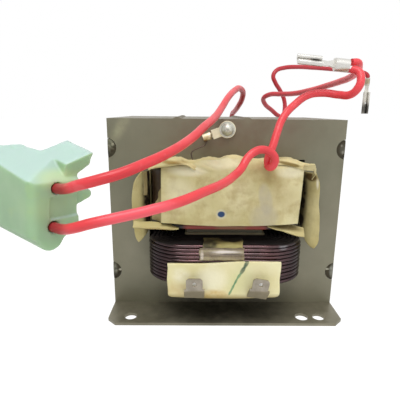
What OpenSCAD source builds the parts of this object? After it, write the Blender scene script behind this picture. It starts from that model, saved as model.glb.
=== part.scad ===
// Microwave oven transformer on its base plate: a laminated E and I core, an open primary
// winding, a paper-wrapped secondary, a filament winding, and four insulated leads.
// X runs left to right, Y runs front to back, Z is up. The origin is under the middle of the plate.

/* [Core] */
// Width of the lamination stack, left to right
core_w = 96; // [88:1:120]
// Height of the lamination stack
core_h = 80; // [74:1:100]
// Thickness of the stack, front to back
stack_t = 60; // [45:1:90]
// Width of the centre limb
centre_w = 32; // [26:1:36]
// Width of each outer limb
limb_w = 16; // [12:1:18]
// Height of the top yoke and of the closing bar
yoke_h = 16; // [12:1:18]
// Diameter of the half-round weld grooves in the side faces
groove_d = 8; // [7:0.5:10]
// Depth of the weld grooves
groove_depth = 3.4; // [2:0.1:3.5]
// Distance from the top face down to the upper grooves
groove_drop = 11.7; // [8:0.1:16]
// Width of the weld beads across the top yoke
top_bead_w = 3.4; // [2:0.1:5]
// Height of the weld beads across the top yoke
top_bead_h = 0.7; // [0.4:0.1:1.2]

/* [Base plate] */
// Thickness of the plate
plate_t = 1.2; // [0.8:0.1:3]
// Length of the plate past the core, at the front and at the back
flange = 17; // [12:0.5:25]
// Size of the cut corners
plate_corner = 3.5; // [1:0.5:5]
// Diameter of the four mounting holes
hole_d = 5; // [3:0.1:6]
// Distance from a mounting hole to the side edge
hole_side = 9; // [6:0.5:12]
// Distance from a mounting hole to the front or back edge
hole_edge = 5; // [4:0.5:8]
// Diameter of the extra hole on the right of the front flange
extra_hole_d = 5.4; // [3:0.1:6]
// Distance between the extra hole and its neighbour
extra_hole_gap = 7; // [6.5:0.5:14]

/* [Primary winding] */
// Diameter of the enamelled primary wire
wire_d = 1.5; // [1:0.05:1.6]
// Turns in the outer layer
primary_turns = 11; // [9:1:14]
// Space between the limb and the coil, at the front and at the back
primary_standoff = 2.6; // [2.2:0.1:4]
// Width of the insulating pad
pad_w = 44; // [40:1:50]
// Height of the insulating pad
pad_h = 15.6; // [13:0.1:17]
// Thickness of the insulating pad
pad_t = 1.6; // [0.8:0.1:2.5]
// Width of the quick-connect blades
blade_w = 6.35; // [4.75:0.05:6.4]
// Thickness of the quick-connect blades
blade_t = 0.8; // [0.5:0.1:1]
// Distance between the two blades
blade_gap = 25; // [20:0.5:28]
// Width of the clear tape
tape_w = 16.6; // [10:0.2:22]
// Height of the clear tape
tape_h = 4.7; // [3:0.1:7]
// Thickness of the clear tape
tape_t = 0.25; // [0.15:0.05:0.5]

/* [Secondary and filament windings] */
// Space between the limb and the secondary, at the front and at the back
secondary_standoff = 3; // [2.2:0.1:5]
// Space above the secondary in the window
secondary_top_gap = 1.8; // [1:0.1:3]
// Diameter of the insulated leads and of the filament winding's wire
lead_d = 2.5; // [2:0.1:3]
// Height of the magnetic shunts
shunt_h = 3.2; // [2:0.1:4]

/* [Insulation] */
// Thickness of the liner tubes round the centre limb
liner_t = 0.8; // [0.4:0.1:1.2]
// Thickness of the wrap papers
paper_t = 0.8; // [0.4:0.1:1]
// Rise of the arched top papers
arch_rise = 4; // [3:0.1:6]
// Thickness of the slot liners
slot_paper_t = 0.5; // [0.3:0.05:0.7]
// Radius of the outward flare of the slot liners
flare_r = 6; // [4:0.5:8]

/* [Ground connection] */
// Diameter of the rivet's head
rivet_d = 5; // [4:0.1:6]
// Diameter of the rivet's shank
shank_d = 3; // [2:0.1:3.5]
// Distance from the top face down to the rivet
rivet_drop = 4.1; // [4:0.1:8]
// Thickness of the ground lug
lug_t = 0.5; // [0.3:0.1:1]

/* [Connector] */
// Length of the housing
housing_l = 38; // [34:1:46]
// Width of the housing
housing_w = 14.4; // [13.5:0.1:17]
// Height of the housing's near side at the lead end
housing_h = 14.7; // [14:0.1:17]
// Slope of the roof, up to the far side
roof_slope = 19.8; // [10:0.1:25]
// Slope of the roof, down to the lead end
roof_fall = 8.9; // [0:0.1:12]
// Distance between the two leads in the housing
lead_pitch = 10.3; // [9.5:0.1:11]

/* [Terminals] */
// Width of the large push-on terminal
terminal_w = 4.6; // [4.2:0.1:8]
// Length of the large push-on terminal
terminal_l = 18; // [16:0.5:26]
// Width of the small push-on terminal
small_terminal_w = 5.2; // [4.6:0.1:7]
// Length of the small push-on terminal
small_terminal_l = 24; // [20:0.5:28]

/* [Hidden] */
$fn = 64;

// Clearances
slip = 0.1;      // a liner on the limb
fit = 0.2;       // pieces that are stacked or slid in
side_gap = 1.5;  // between a coil and an outer limb, where the slot liner passes

// Core
half_t = stack_t / 2;
core_z = plate_t;
core_top = core_z + core_h;
joint_z = core_z + yoke_h;
window_w = (core_w - centre_w) / 2 - limb_w;
window_top = core_top - yoke_h;
window_x = core_w / 2 - limb_w;
groove_low = 1;  // the lower groove's middle lies this far under the joint
low_groove_z = joint_z - groove_low;
high_groove_z = core_top - groove_drop;
weld_sink = 0.5; // a bead's face lies this far inside the side face
top_bead_x = [-20, 8];

// Stack of coils in the windows, from the bottom
coil_in_x = centre_w / 2 + slip + liner_t + fit;
coil_corner = 2;
primary_z = joint_z + fit;
primary_h = primary_turns * wire_d;
primary_top = primary_z + primary_h;
primary_x = window_x - side_gap;
primary_y = half_t + primary_standoff + primary_x - coil_in_x;
shunt_lift = 2.55;     // insulation between the primary and the shunts
shunt_z = primary_top + shunt_lift;
filament_z = shunt_z + shunt_h + fit + lead_d / 2;
filament_bite = 0.06;  // the turns are pressed into each other by this much
filament_step = lead_d - filament_bite;
filament_space = 1.7;  // insulation between the filament winding and the secondary
filament_turns = floor((window_w - liner_t - side_gap - lead_d) / filament_step) + 1;
secondary_z = filament_z + lead_d / 2 + filament_space;
secondary_top = window_top - secondary_top_gap;
secondary_h = secondary_top - secondary_z;
secondary_less = 0.5;  // the secondary is this much narrower than the primary
secondary_x = primary_x - secondary_less;
secondary_y = half_t + secondary_standoff + secondary_x - coil_in_x;
secondary_edge = 2;  // rounding of the secondary's outer edges

// Papers
panel_inset = 4;     // the panel ends this far inside the coil's sides
panel_w = 2 * (secondary_x - panel_inset);
panel_shift = 1;     // the panel sits a little to the right
panel_bow = 2;       // how far the panel's middle stands in front of its sides
panel_drop = 1.5;    // the panel hangs below the secondary
panel_z = secondary_z - panel_drop;
panel_r = (panel_w * panel_w / 4 + panel_bow * panel_bow) / (2 * panel_bow);
coil_flat = coil_in_x - coil_corner + panel_shift;
panel_y = secondary_y + fit + coil_flat * coil_flat / (2 * panel_r);
arch_over = 3;       // the top papers reach this far past the coil's sides
arch_x = secondary_x + arch_over;
arch_z = secondary_top + arch_rise - slip;
slot_gap = 0.15;     // between a slot liner and the outer limb
slot_out = 0.6;      // a slot liner is straight this far past the core
slot_low = 5.6;        // a slot liner reaches this far below the top of the primary
slot_drop = 1.4;     // and ends this far below the top of the secondary
flare_turn = 75;
flare_steps = 10;
flare_tip = 4;
flap_h = 2.1;
flap_out = 4;        // the left flap reaches this far past the coil
flap_in = 7;         // and this far under the panel
right_flap_in = 9;
right_flap_fold = 2;
shunt_gap = 0.25;

// Primary connections
pad_gap = 0.3;       // between the coil and the pad
pad_y = primary_y + pad_gap;
pad_front = pad_y + pad_t;
pad_x = -1.2;
pad_drop = 4.8;      // the pad hangs below the coil
pad_z = primary_z - pad_drop;
pad_cut = 1.5;
blade_x = -0.2;
blade_foot_w = 7.8;
blade_lean = 2.4;    // how far a blade stands in front of the pad
blade_foot_h = 4.6;
blade_h = 4.4;
blade_foot_z = 0.6;  // above the pad's lower edge
dimple_d = 1.6;
right_blade_tilt = 9;
right_blade_in = 0.7;  // the tilted blade stands this far inwards
blade_seat = 0.05;
tape_x = -2.3;

// Ground connection
rivet_z = core_top - rivet_drop;
rivet_depth = 6;
rivet_dome = 1.7;
rivet_dimple_d = 0.9;
washer_d = rivet_d + 1.2;
washer_t = 0.8;
lug_turn = 199.5;
lug_l = 10.2;
lug_rim = 0.3;       // the lug's eye past the washer
lug_neck_w = 3.8;
lug_waist_w = 2;
lug_waist_l = 0.7;
ferrule_d = 3;
ferrule_l = 3.2;
ground_wire_d = 0.6;

// Connector housing, in its own frame: X out of the lead end, Y to the far side
housing_at = [-48.7, -86.5, 59.6];
housing_turn = [-2, 4.5, -37];
housing_floor = -7.6;
roof_mid = housing_floor + housing_h + housing_w / 2 * tan(roof_slope);  // roof over the middle
housing_top = 12.9;  // level top behind the slanted roof
ridge_y = 3.2;       // where the level top turns down to the far side
far_top = 8.6;
far_floor = -6.2;
keel_y = [-4.5, 2.2];
keel_z = [-8.8, -9.4];
corner_r = 2.2;      // rounding of the upright edge at the near side of the lead end
brow_z = 6.6;        // height of the lead end's face, under a slanted brow
brow_slope = 40;
rib_r = 3.6;         // round rib under the floor
rib_at = [-1.2, -8.5];
rib_short = 6;       // the rib ends this far before the mating end
wing_l = 12.2;       // wing that carries the roof on past the far side
wing_reach = 11.6;
wing_t = 1.4;
wing_root = [7.2, 7.7];
wing_step = [11.1, 10.2];
ear_x = -2.6;        // lower ear on the far side
ear_l = 11;
ear_tip = [11.8, 1.2];
ear_r = 1.5;
ear_root_z = [-1.9, 3];
tail_x = -23.5;      // here the top falls to the lower mating end
tail_slope_l = 4.5;
tail_top = 10.8;
latch_x = -21;       // low round latch across the level top
latch_r = 5;
latch_rise = 0.4;
latch_y = [-0.6, 3.1];
recess_depth = 0.9;  // recess between the two leads, open to the far side
recess_h = 6.2;
recess_y = -1.6;
lead_y = [-0.6, 0.4];
lead_mid_z = -0.35;
lead_room = 0.35;    // round a lead in its hole
lead_hole_depth = 3.5;
contact_w = 5.2;
contact_t = 2.4;
contact_wall = 0.4;
contact_barrel_d = 2.3;
contact_barrel_l = 9;
contact_l = 16;

// Push-on terminals: place of the mouth of each crimp, and its turn
terminal_plate = 0.45;
terminal_roll_d = 1.8;
terminal_crimp_l = 4.8;
terminal_neck_l = 4.6;
terminal_neck_w = 2.4;
terminal_hole_d = 1.2;
terminal_pin = 0.9;
crimp_wall = 0.3;
capacitor_terminal_at = [40.6, -44.3, 100];
capacitor_terminal_turn = [-135, -5.3, 178];
jumper_terminal_at = [106.4, 88.8, 107.3];
jumper_terminal_turn = [0, 90, 12];

// Routes of the leads, from the windings to their far ends
filament_upper_route = [
    [8, 43.5, 68.8], [8.2, 46.5, 73], [8.6, 50, 77.5], [9, 48.5, 82], [9.5, 40, 84], [10.5, 29, 87],
    [11.5, 21.5, 90.5], [11, 14.5, 93.8], [8.5, 7, 95], [5.5, -3.5, 93.8], [1.5, -17.5, 89.5],
    [-2, -28, 85.7], [-5, -41, 82], [-10, -57.5, 79], [-14, -68, 76], [-20, -80, 73],
    [-25.5, -87, 71], [-30.5, -91, 69.3], [-36, -92.3, 67.8], [-41.5, -91.4, 66.2],
    [-45, -88.7, 64.9], [-48.1, -86.3, 64.4], [-49.7, -85.1, 64.5]];
filament_lower_route = [
    [14.9, -47.8, 64.7], [15.2, -49.6, 65], [15.4, -51.2, 66.3], [15.4, -52.1, 68], [14.3, -52.5, 69.8],
    [12.4, -52.7, 71.1], [9.8, -53.1, 71.5], [7.3, -53.9, 70.6], [5.2, -55.1, 68.9], [3, -57.5, 65.8],
    [0, -62.5, 64], [-4, -70, 62.9], [-10, -79.5, 62.3], [-16.5, -86, 61], [-24, -90, 59.7],
    [-31, -91.6, 58.4], [-38, -92.6, 57], [-43, -91.6, 55.4], [-46.4, -89.2, 54.3],
    [-49.5, -86.9, 54.1], [-51.1, -85.7, 54.2]];
high_voltage_route = [
    [12.2, -47.3, 64.3], [12.6, -48.2, 66.5], [13.4, -48.5, 69.3], [15, -47.8, 72.3], [16.5, -46, 76.5],
    [19, -43.3, 82], [24, -40, 87], [29, -39, 90.3], [34, -40, 91], [38.8, -43, 90.3],
    [41.3, -46.3, 90.2], [43, -48.4, 92.3], [43.9, -48, 95.5], [43.4, -46.2, 98],
    [41.6, -44.8, 98.8]];
jumper_route = [
    [41.6, -44.1, 101.2], [43.8, -43.4, 101.2], [45.9, -40.2, 100.4], [47.9, -34, 99],
    [49.4, -24, 97.8], [50, -12, 97.2], [49.3, 1, 96.4], [46, 16.5, 95], [41, 33.5, 94],
    [36, 44.5, 94.2], [31.7, 51.5, 94.2], [29, 57, 92.2], [30.8, 62, 89], [37, 69.5, 85],
    [42.5, 74, 81.5], [45.8, 76.8, 81], [47.4, 78.5, 85.5], [46.8, 79, 92], [43.5, 78.2, 98],
    [39.6, 76.4, 103], [38, 76, 107], [40, 76.8, 110.5], [45, 78.5, 112.4], [54, 81.2, 113.4],
    [66, 85.3, 113.5], [79, 89, 113.2], [92, 90.6, 112.4], [100.5, 90.2, 111.6], [104.8, 89.4, 110.4],
    [106.3, 88.9, 108.6], [106.4, 88.8, 107.5]];
// Route of the ground wire, from the middle of the rivet's seat
ground_wire_route = [
    [-8.6, -1.6, -5], [-9.6, -1.8, -5.8], [-11.2, -2.2, -6.7], [-12.8, -2.6, -7.5], [-14, -3.1, -8.7]];

// Sweep of a round tube along a route
function unit(v) = v / norm(v);
function tangents(route) = [for (i = [0:len(route) - 1])
    unit(route[min(i + 1, len(route) - 1)] - route[max(i - 1, 0)])];
function normals(t, n, i = 0) = i == len(t) ? [] :
    let (m = unit(n - (n * t[i]) * t[i])) concat([m], normals(t, m, i + 1));

module tube(route, d, sides, first_normal) {
    t = tangents(route);
    n = normals(t, first_normal);
    last = len(route) - 1;
    rings = [for (i = [0:last], k = [0:sides - 1])
        let (a = 360 * k / sides)
        route[i] + d / 2 * (cos(a) * n[i] + sin(a) * cross(t[i], n[i]))];
    walls = [for (i = [0:last - 1], k = [0:sides - 1])
        let (a = i * sides + k, b = i * sides + (k + 1) % sides)
        [a, a + sides, b + sides, b]];
    start = [[for (k = [0:sides - 1]) k]];
    end = [[for (k = [sides - 1:-1:0]) last * sides + k]];
    polyhedron(rings, concat(walls, start, end), convexity = 8);
}

// Ring round the centre limb: a section, drawn outwards from the inner corner radius, carried
// round a rectangle with rounded corners
module ring_round_limb(in_x, in_y, corner) {
    cx = in_x - corner;
    cy = in_y - corner;
    for (i = [0:3])
        translate([(i == 0 || i == 3 ? 1 : -1) * cx, (i < 2 ? 1 : -1) * cy, 0])
            rotate([0, 0, 90 * i]) rotate_extrude(angle = 90) translate([corner, 0]) children();
    for (turn = [0, 180]) {
        rotate([0, 0, turn]) translate([cx, cy, 0]) rotate([90, 0, 0])
            linear_extrude(2 * cy) translate([corner, 0]) children();
        rotate([0, 0, turn + 90]) translate([cy, cx, 0]) rotate([90, 0, 0])
            linear_extrude(2 * cx) translate([corner, 0]) children();
    }
}

// Outline in the XZ plane, given a thickness from the plane y towards the front
module front_plate(y, t) {
    translate([0, y, 0]) rotate([90, 0, 0]) linear_extrude(t) children();
}

// Core
module groove(z) {
    for (side = [-1, 1])
        translate([side * (core_w / 2 + groove_d / 2 - groove_depth), 0, z])
            rotate([90, 0, 0]) cylinder(d = groove_d, h = stack_t + 2, center = true);
}

module core_e_stack() color("#7d7866") difference() {
    front_plate(half_t, stack_t) difference() {
        translate([-core_w / 2, joint_z]) square([core_w, core_top - joint_z]);
        for (side = [-1, 1])
            translate([side * (window_x + centre_w / 2) / 2 - window_w / 2, joint_z - 1])
                square([window_w, window_top - joint_z + 1]);
    }
    groove(low_groove_z);
    groove(high_groove_z);
    translate([0, -half_t - 1, rivet_z]) rotate([-90, 0, 0])
        cylinder(d = shank_d + fit, h = 1 + rivet_depth + fit);
}

module core_i_stack() color("#7d7866") difference() {
    front_plate(half_t, stack_t)
        translate([-core_w / 2, core_z]) square([core_w, yoke_h]);
    groove(low_groove_z);
}

// The beads fill the grooves
module side_welds() color("#5c5648")
    for (side = [-1, 1], z = [low_groove_z, high_groove_z])
        rotate([90, 0, 0]) linear_extrude(stack_t, center = true) intersection() {
            translate([side * (core_w / 2 + groove_d / 2 - groove_depth), z])
                circle(d = groove_d - 2 * slip);
            translate([side > 0 ? 0 : weld_sink - core_w / 2, z - groove_d / 2])
                square([core_w / 2 - weld_sink, groove_d]);
        }

module top_welds() color("#5c5648") {
    bead_r = (top_bead_w * top_bead_w / 4 + top_bead_h * top_bead_h) / (2 * top_bead_h);
    for (x = top_bead_x)
        translate([x, 0, core_top]) intersection() {
            translate([0, 0, top_bead_h - bead_r]) rotate([90, 0, 0])
                cylinder(r = bead_r, h = stack_t, center = true);
            translate([-top_bead_w, -half_t, 0]) cube([2 * top_bead_w, stack_t, 2 * top_bead_h]);
        }
}

module base_plate() color("#86806d") {
    plate_x = core_w / 2;
    plate_y = half_t + flange;
    c = plate_corner;
    hole_x = plate_x - hole_side;
    hole_y = plate_y - hole_edge;
    linear_extrude(plate_t) difference() {
        polygon([[-plate_x, -plate_y + c], [-plate_x + c, -plate_y], [plate_x - c, -plate_y],
                 [plate_x, -plate_y + c], [plate_x, plate_y - c], [plate_x - c, plate_y],
                 [-plate_x + c, plate_y], [-plate_x, plate_y - c]]);
        for (sx = [-1, 1], sy = [-1, 1])
            translate([sx * hole_x, sy * hole_y]) circle(d = hole_d);
        translate([hole_x - extra_hole_gap, -hole_y]) circle(d = extra_hole_d);
    }
}

module shunt(side) color("#4b463c") {
    inner = centre_w / 2 + shunt_gap;
    outer = window_x - slot_gap - slot_paper_t - shunt_gap;
    translate([side > 0 ? inner : -outer, -half_t, shunt_z])
        cube([outer - inner, stack_t, shunt_h]);
}
module shunt_left() shunt(-1);
module shunt_right() shunt(1);

// Coils
module liner_tube(z, h) {
    in_x = centre_w / 2 + slip;
    in_y = half_t + slip;
    translate([0, 0, z]) linear_extrude(h) difference() {
        square(2 * [in_x + liner_t, in_y + liner_t], center = true);
        square(2 * [in_x, in_y], center = true);
    }
}
module primary_liner() color("#cfc6a4") liner_tube(primary_z, primary_h);
module secondary_liner() color("#cfc6a4") liner_tube(secondary_z, secondary_h);

// Section of the primary: every turn of the outer layer and of the top layer shows
module primary_section() {
    build = primary_x - coil_in_x;
    layers = floor(build / wire_d);
    layer_step = (build - wire_d) / (layers - 1);
    square([build - wire_d / 2, primary_h - wire_d / 2]);
    for (i = [0:primary_turns - 1])
        translate([build - wire_d / 2, (i + 0.5) * wire_d]) circle(d = wire_d, $fn = 24);
    for (j = [0:layers - 2])
        translate([wire_d / 2 + j * layer_step, primary_h - wire_d / 2])
            circle(d = wire_d, $fn = 24);
}
module primary_winding() color("#4a2c33") translate([0, 0, primary_z])
    ring_round_limb(coil_in_x, half_t + primary_standoff, coil_corner) primary_section();

module secondary_section() {
    build = secondary_x - coil_in_x;
    e = secondary_edge;
    square([build - e, secondary_h]);
    translate([0, e]) square([build, secondary_h - 2 * e]);
    for (z = [e, secondary_h - e])
        translate([build - e, z]) circle(r = e);
}
module secondary_winding() color("#33251f") translate([0, 0, secondary_z])
    ring_round_limb(coil_in_x, half_t + secondary_standoff, coil_corner) secondary_section();

module filament_winding() color("#b3262e") translate([0, 0, filament_z])
    ring_round_limb(coil_in_x, half_t + secondary_standoff, coil_corner)
        for (i = [0:filament_turns - 1])
            translate([lead_d / 2 + i * filament_step, 0]) circle(d = lead_d, $fn = 32);

// Primary connections
module primary_pad() color("#e6dc9f") front_plate(-pad_y, pad_t)
    translate([pad_x, pad_z]) polygon([
        [-pad_w / 2 + pad_cut, 0], [pad_w / 2 - pad_cut, 0], [pad_w / 2, pad_cut],
        [pad_w / 2, pad_h], [-pad_w / 2, pad_h], [-pad_w / 2, pad_cut]]);

// Quick-connect blade: a foot that leans out from the pad, and an upright blade with a dimple
module primary_tab(x, tilt) color("#8d8378") {
    knee_z = blade_foot_z + blade_foot_h;
    translate([x, -pad_front - blade_seat, pad_z]) rotate([0, tilt, 0]) {
        rotate([90, 0, 90]) linear_extrude(blade_foot_w, center = true) polygon([
            [0, blade_foot_z], [-blade_t, blade_foot_z], [-blade_lean - blade_t, knee_z - blade_t],
            [-blade_lean - blade_t, knee_z], [-blade_lean, knee_z], [0, blade_foot_z + blade_t]]);
        front_plate(-blade_lean, blade_t) difference() {
            translate([-blade_w / 2, knee_z - blade_t]) polygon([
                [0, 0], [blade_w, 0], [blade_w, blade_h], [blade_w - blade_t, blade_h + blade_t],
                [blade_t, blade_h + blade_t], [0, blade_h]]);
            translate([0, knee_z + blade_h / 2]) circle(d = dimple_d);
        }
    }
}
module primary_tab_left() primary_tab(blade_x - blade_gap / 2, 0);
module primary_tab_right() primary_tab(blade_x + blade_gap / 2 - right_blade_in, right_blade_tilt);

module primary_tape() color("#b9a878")
    front_plate(-primary_y - slip, tape_t)
        translate([tape_x - tape_w / 2, pad_z + pad_h + fit])
            square([tape_w, tape_h]);

// Papers of the secondary
module panel_paper(shift) {
    translate([shift, panel_r - panel_y - paper_t, panel_z])
        linear_extrude(secondary_top + fit - panel_z) intersection() {
            difference() {
                circle(r = panel_r, $fn = 240);
                circle(r = panel_r - paper_t, $fn = 240);
            }
            translate([-panel_w / 2, -panel_r - 1]) square([panel_w, panel_bow + paper_t + 2]);
        }
}
module front_panel_paper() color("#d9cf9f") panel_paper(panel_shift);
module rear_panel_paper() color("#d9cf9f") rotate([0, 0, 180]) panel_paper(0);

module top_paper() {
    r = (arch_x * arch_x + arch_rise * arch_rise) / (2 * arch_rise);
    front_plate(-half_t - fit, secondary_y - half_t - 2 * fit)
        translate([0, arch_z - r]) intersection() {
            difference() {
                circle(r = r + paper_t, $fn = 240);
                circle(r = r, $fn = 240);
            }
            translate([-arch_x, r - 2 * arch_rise]) square([2 * arch_x, 3 * arch_rise]);
        }
}
module front_top_paper() color("#d9cf9f") top_paper();
module rear_top_paper() color("#d9cf9f") rotate([0, 0, 180]) top_paper();

// Slot liner: a paper wall along the outer limb, flared outwards in front of and behind the core.
// One face of a flare, at a distance from the middle of the paper, starts where the wall ends.
function flare_face(off) =
    let (arc = [for (i = [0:flare_steps]) let (a = 180 + flare_turn * i / flare_steps)
                [flare_r + (flare_r + off) * cos(a), (flare_r + off) * sin(a)]],
         end = 180 + flare_turn)
    concat(arc, [arc[flare_steps] + flare_tip * [-sin(end), cos(end)]]);
function reversed(list) = [for (i = [len(list) - 1:-1:0]) list[i]];

module slot_liner() color("#c9bd82") {
    z = primary_top - slot_low;
    h = secondary_top - slot_drop - z;
    wall = [window_x - slot_gap - slot_paper_t / 2, half_t + slot_out];
    inner = flare_face(slot_paper_t / 2);
    outer = flare_face(-slot_paper_t / 2);
    translate([0, 0, z]) linear_extrude(h) polygon(concat(
        [for (p = reversed(inner)) [wall[0] + p[0], p[1] - wall[1]]],
        [for (p = inner) [wall[0] + p[0], wall[1] - p[1]]],
        [for (p = reversed(outer)) [wall[0] + p[0], wall[1] - p[1]]],
        [for (p = outer) [wall[0] + p[0], p[1] - wall[1]]]));
}
module slot_liner_left() mirror([1, 0, 0]) slot_liner();
module slot_liner_right() slot_liner();

// Small folded flaps that hang under the front panel
module front_flap(outline) color("#cdc290")
    front_plate(-panel_y + panel_bow, paper_t) translate([0, panel_z - fit / 2])
        polygon(outline);
module front_flap_left() front_flap([
    [-secondary_x - flap_out, 0], [-panel_w / 2 + flap_in, 0], [-panel_w / 2 + flap_in, -flap_h / 2],
    [-secondary_x - flap_out, -flap_h]]);
module front_flap_right() front_flap([
    [panel_w / 2 - right_flap_in, 0], [secondary_x, 0], [secondary_x, -2 * flap_h],
    [panel_w / 2 - right_flap_fold, -1.5 * flap_h]]);

// Ground connection
module ground_rivet() color("#c9c6bd") translate([0, -half_t - lug_t - slip, rivet_z]) {
    dome_r = (rivet_d * rivet_d / 4 + rivet_dome * rivet_dome) / (2 * rivet_dome);
    rotate([90, 0, 0]) cylinder(d = washer_d, h = washer_t);
    translate([0, -washer_t, 0]) rotate([90, 0, 0]) difference() {
        intersection() {
            translate([0, 0, rivet_dome - dome_r]) sphere(r = dome_r);
            translate([0, 0, -washer_t / 2]) cylinder(d = rivet_d, h = rivet_d);
        }
        translate([0, 0, rivet_dome]) sphere(d = rivet_dimple_d);
    }
    rotate([-90, 0, 0]) cylinder(d = shank_d, h = rivet_depth);
}

// Lug: an eye under the rivet, a strip with a waist, and a ferrule for the wire
module ground_lug() color("#d3cdb6") translate([0, -half_t - slip / 2, rivet_z])
    rotate([0, -lug_turn, 0]) {
        strip_l = lug_l - ferrule_l - lug_waist_l;
        front_plate(0, lug_t) difference() {
            union() {
                circle(d = washer_d + 2 * lug_rim);
                translate([0, -lug_neck_w / 2]) square([strip_l, lug_neck_w]);
                translate([0, -lug_waist_w / 2]) square([lug_l - ferrule_l / 2, lug_waist_w]);
            }
            circle(d = shank_d + fit);
        }
        translate([lug_l - ferrule_l, -ferrule_d / 2, 0]) rotate([0, 90, 0])
            cylinder(d = ferrule_d, h = ferrule_l);
    }

module ground_wire() color("#8a6a45") translate([0, -half_t, rivet_z])
    tube(ground_wire_route, ground_wire_d, 8, [1, 0, 0]);

// Connector
module in_housing() translate(housing_at) rotate(housing_turn) children();
// Outline across the housing, given a length backwards from x
module housing_slice(x, l) translate([x - l, 0, 0]) rotate([90, 0, 90]) linear_extrude(l) children();

// Everything over the slanted roof, from the far left of the housing to past its lead end
module over_roof() translate([0, 0, roof_mid]) rotate([roof_slope, roof_fall, 0])
    translate([-2 * housing_l, -housing_w, 0]) cube([3 * housing_l, 2 * housing_w, housing_h]);

// Wing: the roof carried on past the far side, with a step under its edge
module wing() {
    rise = tan(roof_slope);
    tip_z = roof_mid + wing_reach * rise;
    translate([0, 0, tip_z]) rotate([0, roof_fall, 0]) translate([0, 0, -tip_z])
        housing_slice(0, wing_l) polygon([
            [ridge_y, roof_mid + ridge_y * rise], [wing_reach, tip_z], [wing_reach, tip_z - wing_t],
            [wing_step[0], tip_z - wing_t], wing_step, wing_root, [ridge_y, wing_root[1]]]);
}

module lower_ear() housing_slice(ear_x, ear_l) {
    w = housing_w / 2;
    polygon([[w - ear_r, ear_root_z[0]], [w, ear_root_z[0]], [ear_tip[0], ear_tip[1] - ear_r],
             [ear_tip[0], ear_tip[1] + ear_r], [w, ear_root_z[1]], [w - ear_r, ear_root_z[1]]]);
    translate(ear_tip) circle(r = ear_r);
}

module latch() translate([latch_x, latch_y[1], housing_top + latch_rise - latch_r]) rotate([90, 0, 0])
    cylinder(r = latch_r, h = latch_y[1] - latch_y[0]);

// Everything over the lower mating end
module over_tail() translate([0, housing_w, 0]) rotate([90, 0, 0]) linear_extrude(2 * housing_w) polygon([
    [-2 * housing_l, tail_top], [tail_x - tail_slope_l, tail_top], [tail_x, housing_top],
    [tail_x, 2 * housing_h], [-2 * housing_l, 2 * housing_h]]);

// Body: an outline along the housing, cut by the slanted roof and by the brow over the lead end
module housing_body() {
    w = housing_w / 2;
    difference() {
        intersection() {
            housing_slice(0, housing_l) polygon([
                [-w, housing_floor], [keel_y[0], keel_z[0]], [keel_y[1], keel_z[1]], [w, far_floor],
                [w, far_top], [ridge_y, housing_top], [-w, housing_top]]);
            translate([0, 0, -housing_h]) linear_extrude(3 * housing_h) {
                translate([-housing_l, -w]) square([housing_l - corner_r, housing_w]);
                translate([-housing_l, corner_r - w]) square([housing_l, housing_w - corner_r]);
                translate([-corner_r, corner_r - w]) circle(r = corner_r);
            }
        }
        over_roof();
        over_tail();
        translate([0, -housing_w, brow_z]) rotate([0, brow_slope, 0])
            translate([-housing_l, 0, 0]) cube([2 * housing_l, 2 * housing_w, housing_h]);
    }
}

module connector_housing() color("#b4d2bb") in_housing() difference() {
    union() {
        housing_body();
        housing_slice(0, housing_l - rib_short) translate(rib_at) circle(r = rib_r);
        wing();
        lower_ear();
        latch();
    }
    translate([-recess_depth, recess_y, lead_mid_z - recess_h / 2])
        cube([recess_depth + 1, housing_w, recess_h]);
    for (i = [0, 1]) translate([0, lead_y[i], lead_mid_z + (i - 0.5) * lead_pitch]) {
        translate([-lead_hole_depth, 0, 0]) rotate([0, 90, 0])
            cylinder(d = lead_d + 2 * lead_room, h = lead_hole_depth + 1);
        translate([-lead_hole_depth - contact_barrel_l - fit, 0, 0]) rotate([0, 90, 0])
            cylinder(d = contact_barrel_d + fit, h = contact_barrel_l + 1);
        translate([-housing_l - 1, -contact_w / 2 - fit, -contact_t / 2 - fit])
            cube([housing_l + 1 - lead_hole_depth - contact_barrel_l,
                  contact_w + 2 * fit, contact_t + 2 * fit]);
    }
}

// Contact: a crimp barrel and a box that takes a blade from the mating end
module contact(i) color("#c8b06a") in_housing()
    translate([-lead_hole_depth, lead_y[i], lead_mid_z + (i - 0.5) * lead_pitch]) {
        translate([-contact_barrel_l, 0, 0]) rotate([0, 90, 0])
            cylinder(d = contact_barrel_d, h = contact_barrel_l);
        translate([-contact_barrel_l - contact_l, -contact_w / 2, -contact_t / 2]) difference() {
            cube([contact_l, contact_w, contact_t]);
            translate([-1, contact_wall, contact_wall])
                cube([contact_l, contact_w - 2 * contact_wall, contact_t - 2 * contact_wall]);
        }
    }
module contact_upper() contact(1);
module contact_lower() contact(0);

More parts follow.
